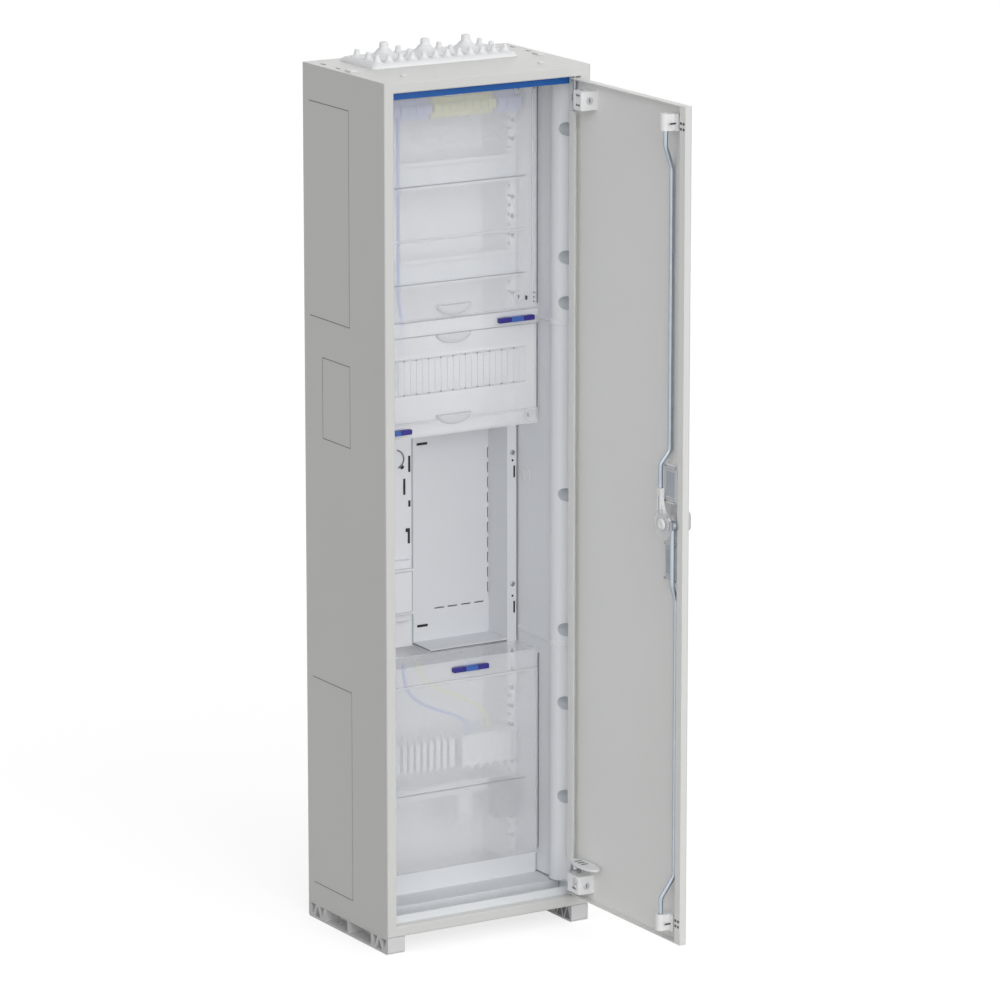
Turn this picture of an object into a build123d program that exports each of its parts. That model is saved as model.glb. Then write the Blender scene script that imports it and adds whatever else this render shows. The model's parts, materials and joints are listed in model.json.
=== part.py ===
from build123d import *
from math import atan, degrees
import os

os.makedirs("parts", exist_ok=True)

# All lengths are in millimetres.
# Distances called "depth" or "back" run backwards from the front plane of the cabinet.
# Heights called "low", "high" or "level" run up from the underside of the sheet body.

# Sheet body
body_width = 300.0
body_depth = 205.0
body_height = 1100.0
sheet = 1.5
frame_face = 14.0
frame_return = 15.0
bend_radius = 2.0
rear_flange = 12.0
panel_play = 0.3

# Knock-out scores in the side walls
score_width = 1.2
score_depth = 0.6
score_front = 89.0
score_rear_margin = 15.0
score_middle_margin = 45.0
score_inset = 0.5
score_top_margin = 46.0
score_middle_drop = 4.0
score_middle_height = 106.0
score_lower_low = 27.0
score_lower_height = 277.0

# Wall fixing in the back panel
wall_hole_radius = 4.5
wall_hole_inset = 50.0
wall_hole_low = 70.0
wall_hole_drop = 100.0
wall_access_radius = 7.0

# Feet
foot_height = 22.0
foot_width = 25.0
foot_wall = 3.0
foot_zone = 44.0
foot_corner = 4.0
floor_hole_radius = 4.5
floor_hole_inset = 16.5
zigzag_shares = (
    ((0.03, 1.0), (0.35, 1.0), (0.19, 0.1)),
    ((0.30, 0.0), (0.66, 0.0), (0.48, 0.9)),
    ((0.61, 1.0), (0.97, 1.0), (0.79, 0.1)),
)

# Cable-entry plate on the top
entry_side_margin = 43.0
entry_rear_margin = 15.0
entry_length = 88.0
entry_rise = 6.0
entry_bevel = 5.0
collar_margin = 8.0
collar_drop = 5.0
collar_play = 0.4
cone_side_count = 16
small_cone_base = 7.4
small_cone_tip = 2.6
small_cone_height = 9.0
small_row_pitch = 17.0
small_row_inset = 13.0
pair_side_inset = 17.0
pair_forward = 3.0
pair_rear_inset = 18.0
large_cone_base = 22.0
large_cone_waist = 8.0
large_cone_waist_height = 9.0
large_cone_neck = 6.0
large_cone_tip = 4.6
large_cone_neck_height = 10.0
large_cone_back = 10.0

# Plugs and slots in the top
top_slot_length = 14.0
top_slot_width = 4.0
top_slot_inset = 11.0
top_slot_rear_margins = (70.0, 32.0)
plug_inset = 13.0
plug_rear_margin = 101.0
plug_width = 11.0
plug_length = 15.0
plug_rise = 2.0
stem_inset = 2.0
stem_drop = 4.0
stem_play = 0.3
dot_inset = 50.0
dot_depth = 39.0
dot_radius = 4.0
dot_stem_radius = 2.2

# Door axis and hinge bearings in the frame
axis_inset = 6.0
axis_depth = 5.5
pivot_radius = 2.5
pivot_play = 0.05
pivot_hole_radius = 4.0
bearing_half = 6.0
bearing_height = 5.0

# Blue strip under the top rail
strip_front = 12.5
strip_thickness = 2.0
strip_drop = 10.0
strip_gap = 2.0
strip_pivot_gap = 4.0

# Plastic liner
liner_wall = 2.0
liner_front = 16.5
liner_front_gap = 2.5
liner_front_length = 10.5
liner_slope = 5.0
liner_step = 6.0
ridge_bulge = 6.0
ridge_length = 26.0
ridge_top_share = 0.46
liner_foot_gap = 2.0
liner_join_rise = 15.0
liner_join_drop = 13.5
liner_top_gap = 6.0
liner_names = ("liner_lower", "liner_middle", "liner_upper")
notch_radius = 9.0
notch_depth = 27.0
pocket_depth = 5.0
pocket_skin = 1.4
pocket_margin = 2.0
notch_shares = ((0.362, 0.759), (0.052, 0.474), (0.085, 0.263, 0.761))

# Stepped floor liner
floor_lip_high = 24.0
floor_lip_skin = 1.4
channel_level = 10.0
channel_rear = 46.0
tread_level = 24.0
tread_inset = 2.0
upstand_gap = 1.0

# Uprights, rails and bars behind the covers
upright_gap = 2.5
upright_width = 14.0
upright_front = 138.0
upright_low = 30.0
upright_top_gap = 30.0
punch_size = 5.0
punch_pitch = 25.0
rail_inset = 3.0
rail_width = 35.0
rail_web = 27.0
rail_rise = 7.5
rail_sheet = 1.0
rail_top_drop = 147.0
rail_second_drop = 272.0
rail_lower_level = 195.0
rail_names = ("rail_top", "rail_second", "rail_device", "rail_lower")
bar_thickness = 4.0
terminal_bar_drop = 67.0
terminal_bar_height = 14.0
clamp_bar_low = 132.0
clamp_bar_height = 16.0

# Terminal blocks on the upper bar
terminal_overhang = 6.0
terminal_rise = 18.0
terminal_groove = 1.6
terminal_groove_depth = 8.0
terminal_ledge = 7.0
terminal_step = 9.0
terminal_left_inset = 18.0
terminal_right_inset = 3.0
terminal_gap = 4.0
terminal_names = ("n_terminal_left", "pe_terminal", "n_terminal_right")
terminal_way_counts = (8, 8, 3)

# Covers
cover_front = 88.0
cover_wall = 2.5
cover_gap = 2.0
cover_side = 2.0
cover_rim = 14.0
cover_top_margin = 26.0
upper_cover_height = 297.5
cover_joint = 1.0
device_cover_height = 149.5
ledge_rise = 2.0
upper_ledge_height = 18.5
lower_ledge_height = 20.0
lower_cover_low = 52.0
lower_cover_height = 274.0
lower_band = 25.0
lower_main_rise = 2.5
lower_main_gap = 0.9
shelf_gap = 2.0
grip_half = 24.0
grip_height = 12.0
grip_rise = 6.0
grip_slope_degrees = 35.0
upper_grip_rise = 17.5
upper_grip_drop = 2.0
device_grip_rise = 6.0

# Row of blanking strips in the device cover
blank_margin = 17.5
blank_raise = 55.0
blank_height = 47.0
blank_play = 0.4
blank_proud = 0.4
blank_thickness = 1.8
blank_flange = 4.0
blank_pitch = 9.0
blank_line = 0.8
blank_line_depth = 0.6

# Sliding latches of the covers
latch_length = 53.0
latch_height = 6.4
latch_corner = 1.2
latch_rise = 5.0
latch_grip_length = 18.0
latch_grip_rise = 2.0
latch_neck_length = 34.0
latch_neck = 2.4
latch_travel = 8.0
latch_play = 0.4
keeper_length = 44.0
keeper_height = 7.0
keeper_thickness = 2.0
latch_inset = 10.0
latch_lower_inset = 12.0
latch_lower_share = 0.19

# Meter bay
bay_low_gap = 2.0
bay_high_gap = 4.0
bay_split = -5.0
bay_split_gap = 3.0
plate_back_gap = 15.5
plate_skin = 1.5
dash_length = 14.0
dash_pitch = 20.0
dash_width = 1.6
dash_left_inset = 33.0
dash_right_inset = 7.0
dash_low_inset = 43.0
dash_high_inset = 34.0
plate_slot_length = 16.0
plate_slot_height = 3.5
plate_slot_inset = 15.5
plate_slot_low_inset = 22.0
plate_slot_high_inset = 30.0
side_back_gap = 24.0
side_slot_width = 3.0
side_slot_lengths = (21.0, 21.0, 8.0, 20.0)
side_slot_insets = (5.5, 13.0, 5.5, 6.5)
side_slot_level_shares = (0.823, 0.723, 0.645, 0.5)
box_left_inset = 19.0
box_right_inset = 8.0
box_level_shares = (0.126, 0.398)
box_rise = 16.0
box_step = 10.0

# Pieces behind the lower cover
comb_side_shares = (-0.861, 0.123)
comb_drop = 17.0
comb_height = 38.0
comb_rise = 20.5
comb_gap = 4.0
comb_gap_depth = 12.0
comb_tooth_count = 12
block_side_shares = (0.197, 0.787)
block_drop = 23.0
block_height = 46.0
block_rise = 24.5
block_arch_radius = 5.5
block_arch_depth = 10.0
block_arch_count = 5
oval_side_share = 0.344
oval_drop = 20.0
oval_width = 22.0
oval_length = 62.0
oval_thickness = 4.0
oval_hole_radius = 3.0
oval_hole_pitch = 34.0
earth_side_shares = (0.656, 0.918)
earth_drop = 34.0
earth_top_inset = 2.0
earth_rise = 22.0
earth_step = 10.0

# Feed terminal and wires
feed_side_share = -0.492
feed_width = 20.0
feed_drop = 22.5
feed_height = 44.0
feed_rise = 30.5
feed_step = 12.0
wire_radius = 2.0
wire_bend = 18.0
wire_side_count = 10
feed_wire_stand = 12.0
feed_wire_entry_stand = 16.5
feed_wire_jog_start = 74.0
feed_wire_jog_end = 49.0
blue_run_stand = 14.5
blue_run_shares = ((-0.475, 1.0), (-0.475, 0.626), (-0.148, 0.360), (0.328, 0.246), (0.328, 0.0))
earth_run_stand = 8.5
earth_run_shares = ((-0.279, 1.0), (-0.279, 0.739), (0.0, 0.531), (0.590, 0.398), (0.590, 0.0))

# Door panel, measured from the pivot axis outwards and from the outer face inwards
door_gap = 2.0
door_thick = 11.0
door_edge_radius = 3.5
door_inner_radius = 2.0
door_lip = 12.5
hinge_cut_rise = 44.0
hinge_cut_drop = 42.0
hinge_cut_reach = 12.0
pin_clear_radius = 3.2

# Hinge arms, blocks and pins
hinge_low_inset = 11.0
hinge_high_inset = 35.0
hinge_block_height = 24.0
hinge_block_nears = (15.0, 24.0)
hinge_block_lengths = (30.0, 22.0)
hinge_block_rise = 24.0
hinge_block_round = 3.0
arm_height = 8.0
arm_offset = 6.0
arm_half = 3.0
arm_end_inset = 6.0
knuckle_radius = 4.0
lug_overhang = 2.0
lug_length = 15.0
lug_rise = 19.0
link_inset = 5.0
link_rise = 14.0
block_slot_width = 3.0
block_slot_height = 14.0
block_slot_depth = 1.5
block_slot_insets = (12.0, 6.0)

# Release lever of the lower hinge
link_lift = 4.0
lever_lift = 37.0
lever_thickness = 3.0
lever_shift = 24.0
lever_length = 60.0
lever_width = 22.0
lever_slot_length = 10.0
lever_slot_width = 4.0
lever_slot_pitch = 8.0
lever_slot_count = 3
lever_slot_shift = 7.0

# Lock: escutcheon, handle, spindle and cam
lock_inset = 29.0
lock_raise = 7.0
shell_half_width = 17.0
shell_half_height = 79.0
shell_rise = 3.0
cut_half_width = 12.0
cut_half_height = 72.0
cut_play = 0.3
lock_box_height = 44.0
lock_box_depth = 10.0
lock_box_skin = 1.5
hub_radius = 10.5
hub_top = 12.0
spindle_radius = 6.0
spindle_play = 0.05
handle_gap = 0.4
handle_length = 28.0
handle_width = 16.0
handle_rise = 13.0
handle_draft_degrees = 8.0
right_angle_degrees = 90.0
square_size = 8.0
cam_hub_radius = 6.5
cam_hub_gap = 0.5
cam_low = 20.0
cam_thickness = 3.0
cam_radius = 18.5
crank_radius = 14.0
cam_pin_radius = 4.0
cam_pin_reach = 0.6

# Lock rods
rod_radius = 3.0
rod_bend = 9.0
raised = 16.0
flat_run = 6.0
tip_rise = 20.0
tip_shift = 1.0
flat_shift = 8.0
upper_rod_rises = (43.0, 73.0, 91.0)
upper_rod_drops = (80.0, 52.0, 13.0)
lower_rod_drops = (2.0, 77.0, 97.0)
lower_rod_rises = (86.0, 56.0, 17.0)
eye_radius = 6.0
eye_half = 2.2
clip_half = 4.2
clip_eye_radius = 6.4
clip_slot_half = 1.2
clip_slot_start = 9.0
clip_slot_end = 33.0

# Rod guides
guide_low_inset = 15.0
guide_high_inset = 32.0
guide_height = 21.0
guide_near_reach = 12.0
guide_far_reach = 14.0
guide_rise = 12.5
saddle_radius = 7.0
saddle_play = 0.4

# Values worked out from the ones above: door opening and depths
opening_half = body_width / 2 - frame_face
opening_low = frame_face
opening_high = body_height - frame_face
rear_inner = body_depth - sheet
back_panel_front = rear_inner - sheet
liner_back = back_panel_front - liner_wall
rail_front = upright_front - rail_rise
bar_front = upright_front - bar_thickness
plate_back = liner_back - plate_back_gap
side_front = liner_back - side_back_gap
shelf_rear = upright_front - shelf_gap
cover_rim_back = cover_front + cover_rim
blank_front = cover_front - blank_proud
tread_rear = cover_front + tread_inset
terminal_front = bar_front - terminal_rise
comb_front = rail_front - comb_rise
block_front = rail_front - block_rise
earth_front = bar_front - earth_rise
feed_front = rail_front - feed_rise

# Sideways places, from the door opening inwards
axis_x = opening_half - axis_inset
strip_right = axis_x - strip_pivot_gap
liner_front_x = opening_half - liner_front_gap
liner_x = liner_front_x - liner_step
ridge_x = liner_x - ridge_bulge
floor_half = liner_front_x
upright_outer = liner_x - upright_gap
upright_inner = upright_outer - upright_width
rail_half = upright_outer - rail_inset
cover_half = liner_x - cover_gap
upstand_half = cover_half
lower_main_half = liner_x - lower_main_gap
blank_half = cover_half - blank_margin
window_half = blank_half + blank_play
latch_side = cover_half - latch_length / 2 - latch_travel
plate_left = bay_split
side_right = bay_split - bay_split_gap
dash_left = plate_left + dash_left_inset
dash_right = upright_inner - dash_right_inset
box_left = box_left_inset - upright_inner
box_right = side_right - box_right_inset
wall_hole_x = body_width / 2 - wall_hole_inset
strip_left = strip_gap - opening_half
comb_left, comb_right = [share * rail_half for share in comb_side_shares]
block_left, block_right = [share * rail_half for share in block_side_shares]
earth_left, earth_right = [share * rail_half for share in earth_side_shares]
oval_x = oval_side_share * rail_half
feed_x = feed_side_share * rail_half
terminal_way = (2 * rail_half - terminal_left_inset - terminal_right_inset
                - terminal_gap * (len(terminal_names) - 1)) / sum(terminal_way_counts)

# Depths of the liner's front step and ridge
liner_front_end = liner_front + liner_front_length
ridge_start = liner_front_end + liner_slope
ridge_end = ridge_start + ridge_length
ridge_top = ridge_start + ridge_top_share * ridge_length
pocket_rear = notch_depth + notch_radius + pocket_margin
pocket_x = liner_front_x + pocket_depth

# Levels of the fields: the lower one from the floor, the device and upper ones from the top
upper_cover_high = body_height - cover_top_margin
upper_cover_low = upper_cover_high - upper_cover_height
device_cover_high = upper_cover_low - cover_joint
device_cover_low = device_cover_high - device_cover_height
device_ledge_top = device_cover_high - upper_ledge_height
device_ledge_bottom = device_cover_low + lower_ledge_height
blank_low = device_cover_low + blank_raise
blank_high = blank_low + blank_height
lower_cover_high = lower_cover_low + lower_cover_height
lower_band_low = lower_cover_high - lower_band
upstand_high = lower_cover_low - upstand_gap
bay_low = lower_cover_high + bay_low_gap
bay_high = device_cover_low - bay_high_gap
bay_height = bay_high - bay_low
upright_high = body_height - upright_top_gap
punch_count = int((upright_high - upright_low) / punch_pitch) - 1
punch_first = (upright_low + upright_high - (punch_count - 1) * punch_pitch) / 2
punch_levels = [level for level in (punch_first + punch_pitch * step for step in range(punch_count))
                if level < bay_low - punch_size or level > bay_high + punch_size]
rail_device_level = (blank_low + blank_high) / 2
rail_levels = (body_height - rail_top_drop, body_height - rail_second_drop,
               rail_device_level, rail_lower_level)
terminal_bar_low = body_height - terminal_bar_drop
terminal_low = terminal_bar_low - terminal_overhang
terminal_high = terminal_bar_low + terminal_bar_height + terminal_overhang
wall_hole_levels = (wall_hole_low, body_height - wall_hole_drop)
comb_low = rail_lower_level - comb_drop
block_low = rail_lower_level - block_drop
block_high = block_low + block_height
earth_low = clamp_bar_low - earth_drop
earth_high = clamp_bar_low + clamp_bar_height - earth_top_inset
feed_low = rail_device_level - feed_drop
feed_high = feed_low + feed_height
box_low, box_high = [bay_low + share * bay_height for share in box_level_shares]
dash_low = bay_low + dash_low_inset
dash_high = bay_high - dash_high_inset
liner_levels = (tread_level + liner_foot_gap, lower_cover_high + liner_join_rise,
                upper_cover_low - liner_join_drop, body_height - liner_top_gap)
latch_places = (("latch_right", latch_side, device_cover_high - latch_inset),
                ("latch_left", -latch_side, device_cover_low + latch_inset),
                ("latch_lower", latch_lower_share * cover_half, lower_cover_high - latch_lower_inset))

# Places on the top
entry_width = body_width - 2 * entry_side_margin
entry_middle_depth = body_depth - entry_rear_margin - entry_length / 2
block_top_of_entry = body_height + entry_rise
small_row_depth = entry_middle_depth - entry_length / 2 + small_row_inset
small_row_count = int((entry_width - 2 * entry_bevel - 2 * small_cone_base) / small_row_pitch) + 1
pair_pitch = (entry_width - 2 * pair_side_inset) / 3
pair_depths = (entry_middle_depth - pair_forward, entry_middle_depth + entry_length / 2 - pair_rear_inset)
large_cone_depth = entry_middle_depth + large_cone_back
top_slot_x = body_width / 2 - top_slot_inset
plug_x = body_width / 2 - plug_inset
dot_x = body_width / 2 - dot_inset

# Places on the door
door_outer_x = axis_x + axis_depth
door_near = -(opening_half - door_gap - axis_x)
door_far = axis_x + opening_half - door_gap
door_low = opening_low + door_gap
door_high = opening_high - door_gap
skin_inner = sheet
lip_inner = door_thick - sheet
hinge_low_levels = (door_low + hinge_low_inset, door_high - hinge_high_inset)
link_outs = [near + link_inset for near in hinge_block_nears]
lever_level = hinge_low_levels[0] + lever_lift
lever_middle = link_outs[0] + lever_shift
lock_out = door_far - lock_inset
lock_level = body_height / 2 + lock_raise
cam_hub_low = hub_top + cam_hub_gap
cam_high = cam_low + cam_thickness
tip_out = lock_out - tip_shift
hinge_cut_low = door_low + hinge_cut_rise
hinge_cut_high = door_high - hinge_cut_drop
upper_rod_levels = ([lock_level + rise for rise in upper_rod_rises]
                    + [door_high - drop for drop in upper_rod_drops])
lower_rod_levels = ([lock_level - drop for drop in lower_rod_drops]
                    + [door_low + rise for rise in lower_rod_rises])
guide_levels = (door_low + guide_low_inset, door_high - guide_high_inset)
guide_near = tip_out - guide_near_reach
guide_far = tip_out + guide_far_reach


def behind(distance):
    """Y of a place this far behind the front plane."""
    return distance - body_depth / 2


def above(height):
    """Z of a place this far above the underside of the sheet body."""
    return foot_height + height


def mirrored(side_x, distance):
    """Two level places, left and right, this far behind the front plane."""
    return [(-side_x, behind(distance)), (side_x, behind(distance))]


def face_at(distance):
    """Upright plane facing the front; a negative extrusion runs backwards."""
    return Plane.XZ.offset(-behind(distance))


def level_at(height):
    """Level plane at a height above the underside of the sheet body."""
    return Plane.XY.offset(above(height))


def door_face(rise):
    """Plane along the open door: local x runs out from the pivot axis, local y is Z."""
    return Plane(origin=(door_outer_x - rise, behind(axis_depth), 0), x_dir=(0, -1, 0), z_dir=(-1, 0, 0))


def door_plan(height):
    """Level plane of the door: local x runs out from the pivot axis, local y from the outer face inwards."""
    return Plane(origin=(door_outer_x, behind(axis_depth), above(height)), x_dir=(0, -1, 0), z_dir=(0, 0, -1))


def door_point(out, rise, height):
    """Point given by its place on the open door."""
    return (door_outer_x - rise, behind(axis_depth) - out, above(height))


def span(low_x, high_x, low_y, high_y, mode=Mode.ADD):
    """Rectangle between two pairs of limits, in the sketch that is open."""
    with Locations(((low_x + high_x) / 2, (low_y + high_y) / 2)):
        Rectangle(abs(high_x - low_x), abs(high_y - low_y), mode=mode)


def segment(middle_x, chord_level, half, height):
    """Half-moon with its straight side up, in the sketch that is open."""
    with BuildLine() as moon:
        Line((middle_x - half, chord_level), (middle_x + half, chord_level))
        ThreePointArc((middle_x + half, chord_level), (middle_x, chord_level - height),
                      (middle_x - half, chord_level))
    make_face(moon.edges())


plug_places = mirrored(plug_x, body_depth - plug_rear_margin)
dot_places = mirrored(dot_x, dot_depth)

# Sheet body: folded wrap with the front frame, the door return and the rear flange
with BuildPart() as body_wrap:
    with BuildSketch(level_at(0)):
        Rectangle(body_width, body_depth)
    extrude(amount=body_height)
    fillet(body_wrap.faces().sort_by(Axis.Y)[0].edges(), bend_radius)
    with BuildSketch(face_at(body_depth)):
        span(sheet - body_width / 2, body_width / 2 - sheet, above(sheet), above(body_height - sheet))
    extrude(amount=rear_inner, mode=Mode.SUBTRACT)
    with BuildSketch(face_at(0)):
        span(-opening_half, opening_half, above(opening_low), above(opening_high))
    extrude(amount=-frame_return, mode=Mode.SUBTRACT)
    with BuildSketch(face_at(0)):
        span(-opening_half - sheet, opening_half + sheet,
             above(opening_low - sheet), above(opening_high + sheet))
        span(-opening_half, opening_half, above(opening_low), above(opening_high), Mode.SUBTRACT)
    extrude(amount=-frame_return)
    fillet(body_wrap.faces().sort_by(Axis.Y)[0].inner_wires()[0].edges(), bend_radius)
    with BuildSketch(face_at(body_depth)):
        span(sheet - body_width / 2, body_width / 2 - sheet, above(sheet), above(body_height - sheet))
        span(rear_flange - body_width / 2, body_width / 2 - rear_flange,
             above(rear_flange), above(body_height - rear_flange), Mode.SUBTRACT)
    extrude(amount=sheet)
    # Cut-outs in the top: cable entry, slots and plug holes
    with BuildSketch(level_at(body_height)):
        span(collar_margin - entry_width / 2, entry_width / 2 - collar_margin,
             behind(entry_middle_depth - entry_length / 2 + collar_margin),
             behind(entry_middle_depth + entry_length / 2 - collar_margin))
        for margin in top_slot_rear_margins:
            with Locations((-top_slot_x, behind(body_depth - margin)),
                           (top_slot_x, behind(body_depth - margin))):
                Rectangle(top_slot_width, top_slot_length)
        with Locations(*plug_places):
            Rectangle(plug_width - 2 * stem_inset, plug_length - 2 * stem_inset)
        with Locations(*dot_places):
            Circle(dot_stem_radius + stem_play)
    extrude(amount=-sheet, mode=Mode.SUBTRACT)
    # Holes for the door pivots in the top and bottom returns
    with BuildSketch(level_at(opening_high)):
        with Locations((axis_x, behind(axis_depth))):
            Circle(pivot_hole_radius)
    extrude(amount=sheet, mode=Mode.SUBTRACT)
    with BuildSketch(level_at(opening_low)):
        with Locations((axis_x, behind(axis_depth))):
            Circle(pivot_hole_radius)
    extrude(amount=-sheet, mode=Mode.SUBTRACT)
    # Knock-out scores in both side walls
    for side in (-1, 1):
        with BuildSketch(Plane.YZ.offset(side * body_width / 2)):
            score_rear = behind(body_depth - score_rear_margin)
            score_middle_rear = behind(body_depth - score_middle_margin)
            score_middle_low = device_cover_low - score_middle_drop
            score_middle_high = score_middle_low + score_middle_height
            for low, high in ((upper_cover_low + score_inset, body_height - score_top_margin),
                              (score_lower_low, score_lower_low + score_lower_height)):
                span(behind(score_front), score_rear, above(low), above(low + score_width))
                span(behind(score_front), score_rear, above(high - score_width), above(high))
                span(behind(score_front), behind(score_front + score_width), above(low), above(high))
            span(behind(score_front), score_middle_rear, above(score_middle_low), above(score_middle_high))
            span(behind(score_front + score_width), score_middle_rear - score_width,
                 above(score_middle_low + score_width), above(score_middle_high - score_width), Mode.SUBTRACT)
        extrude(amount=-side * score_depth, mode=Mode.SUBTRACT)
body_wrap.part.label = "body_wrap"
export_step(body_wrap.part, "parts/body_wrap.step")

# Back panel inside the rear flange, with the wall-fixing holes
with BuildPart() as back_panel:
    with BuildSketch(face_at(rear_inner)):
        with Locations((0, above(body_height / 2))):
            Rectangle(body_width - 2 * (sheet + panel_play), body_height - 2 * (sheet + panel_play))
        for wall_level in wall_hole_levels:
            with Locations((-wall_hole_x, above(wall_level)), (wall_hole_x, above(wall_level))):
                Circle(wall_hole_radius, mode=Mode.SUBTRACT)
    extrude(amount=sheet)
back_panel.part.label = "back_panel"
export_step(back_panel.part, "parts/back_panel.step")

# Moulded feet: open on the outside, with pockets and zigzag ribs
for side, foot_name in ((-1, "foot_left"), (1, "foot_right")):
    with BuildPart() as foot:
        with BuildSketch(Plane.YZ.offset(side * body_width / 2)):
            span(-body_depth / 2, body_depth / 2, 0, foot_height)
        extrude(amount=-side * foot_width)
        lower_ends = foot.edges().filter_by(Axis.X).group_by(Axis.Z)[0]
        fillet(lower_ends, foot_corner)
        with BuildSketch(Plane.YZ.offset(side * body_width / 2)):
            pocket_low = foot_wall
            pocket_rise = foot_height - 2 * foot_wall
            pocket_end = body_depth / 2 - foot_zone
            span(-pocket_end, -foot_wall / 2, pocket_low, pocket_low + pocket_rise)
            span(foot_wall / 2, pocket_end, pocket_low, pocket_low + pocket_rise)
            for end in (-1, 1):
                for triangle in zigzag_shares:
                    corners = [(end * (pocket_end + foot_wall + along * (foot_zone - 2 * foot_wall)),
                                pocket_low + up * pocket_rise) for along, up in triangle]
                    with BuildLine():
                        Polyline(*corners, close=True)
                    make_face()
        extrude(amount=-side * (foot_width - foot_wall), mode=Mode.SUBTRACT)
        with BuildSketch(Plane.XY):
            with Locations((side * (body_width - foot_width) / 2, 0)):
                with GridLocations(foot_width, 2 * (pocket_end - floor_hole_inset), 1, 2):
                    Circle(floor_hole_radius)
        extrude(amount=foot_wall, mode=Mode.SUBTRACT)
    foot.part.label = foot_name
    export_step(foot.part, f"parts/{foot_name}.step")

# Cable-entry plate: bevelled rim, collar in the cut-out, membrane cones
row_start = -small_row_pitch * (small_row_count - 1) / 2
small_cone_places = [(row_start + small_row_pitch * step, behind(small_row_depth))
                     for step in range(small_row_count)]
small_cone_places += [(pair_pitch * (step - 1.5), behind(depth))
                      for step in range(4) for depth in pair_depths]
large_cone_places = [(pair_pitch * step, behind(large_cone_depth)) for step in (-1, 0, 1)]
from_base = (Align.CENTER, Align.CENTER, Align.MIN)
with BuildPart() as cable_entry:
    with BuildSketch(level_at(body_height)):
        with Locations((0, behind(entry_middle_depth))):
            Rectangle(entry_width, entry_length)
    extrude(amount=entry_rise)
    chamfer(cable_entry.faces().sort_by(Axis.Z)[-1].edges(), entry_bevel)
    with BuildSketch(level_at(body_height)):
        with Locations((0, behind(entry_middle_depth))):
            Rectangle(entry_width - 2 * (collar_margin + collar_play),
                      entry_length - 2 * (collar_margin + collar_play))
    extrude(amount=-collar_drop)
    with BuildSketch(level_at(block_top_of_entry)):
        with Locations(small_cone_places):
            RegularPolygon(small_cone_base, cone_side_count)
    small_cone_slope = degrees(atan((small_cone_base - small_cone_tip) / small_cone_height))
    extrude(amount=small_cone_height, taper=small_cone_slope)
    with Locations(level_at(block_top_of_entry)):
        with Locations([Location((x, y, 0)) for x, y in large_cone_places]):
            Cone(large_cone_base, large_cone_waist, large_cone_waist_height, align=from_base)
    with Locations(level_at(block_top_of_entry + large_cone_waist_height)):
        with Locations([Location((x, y, 0)) for x, y in large_cone_places]):
            Cone(large_cone_neck, large_cone_tip, large_cone_neck_height, align=from_base)
cable_entry.part.label = "cable_entry"
export_step(cable_entry.part, "parts/cable_entry.step")

# Plugs in the top: two square caps and two round dots
with BuildPart() as top_plugs:
    with BuildSketch(level_at(body_height)):
        with Locations(*plug_places):
            Rectangle(plug_width, plug_length)
        with Locations(*dot_places):
            Circle(dot_radius)
    extrude(amount=plug_rise)
    with BuildSketch(level_at(body_height)):
        with Locations(*plug_places):
            Rectangle(plug_width - 2 * (stem_inset + stem_play), plug_length - 2 * (stem_inset + stem_play))
        with Locations(*dot_places):
            Circle(dot_stem_radius)
    extrude(amount=-stem_drop)
top_plugs.part.label = "top_plugs"
export_step(top_plugs.part, "parts/top_plugs.step")

# Hinge bearings on the returns of the frame
with BuildPart() as hinge_bearings:
    with BuildSketch(level_at(opening_high + sheet)):
        with Locations((axis_x, behind(bearing_half + sheet))):
            Rectangle(2 * bearing_half, 2 * bearing_half)
        with Locations((axis_x, behind(axis_depth))):
            Circle(pivot_radius + pivot_play, mode=Mode.SUBTRACT)
    extrude(amount=bearing_height)
    with BuildSketch(level_at(opening_low - sheet)):
        with Locations((axis_x, behind(bearing_half + sheet))):
            Rectangle(2 * bearing_half, 2 * bearing_half)
        with Locations((axis_x, behind(axis_depth))):
            Circle(pivot_radius + pivot_play, mode=Mode.SUBTRACT)
    extrude(amount=-bearing_height)
hinge_bearings.part.label = "hinge_bearings"
export_step(hinge_bearings.part, "parts/hinge_bearings.step")

# Blue strip under the top rail
with BuildPart() as trim_strip:
    with BuildSketch(face_at(strip_front)):
        span(strip_left, strip_right, above(opening_high - strip_drop), above(opening_high))
    extrude(amount=-strip_thickness)
trim_strip.part.label = "trim_strip"
export_step(trim_strip.part, "parts/trim_strip.step")

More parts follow.
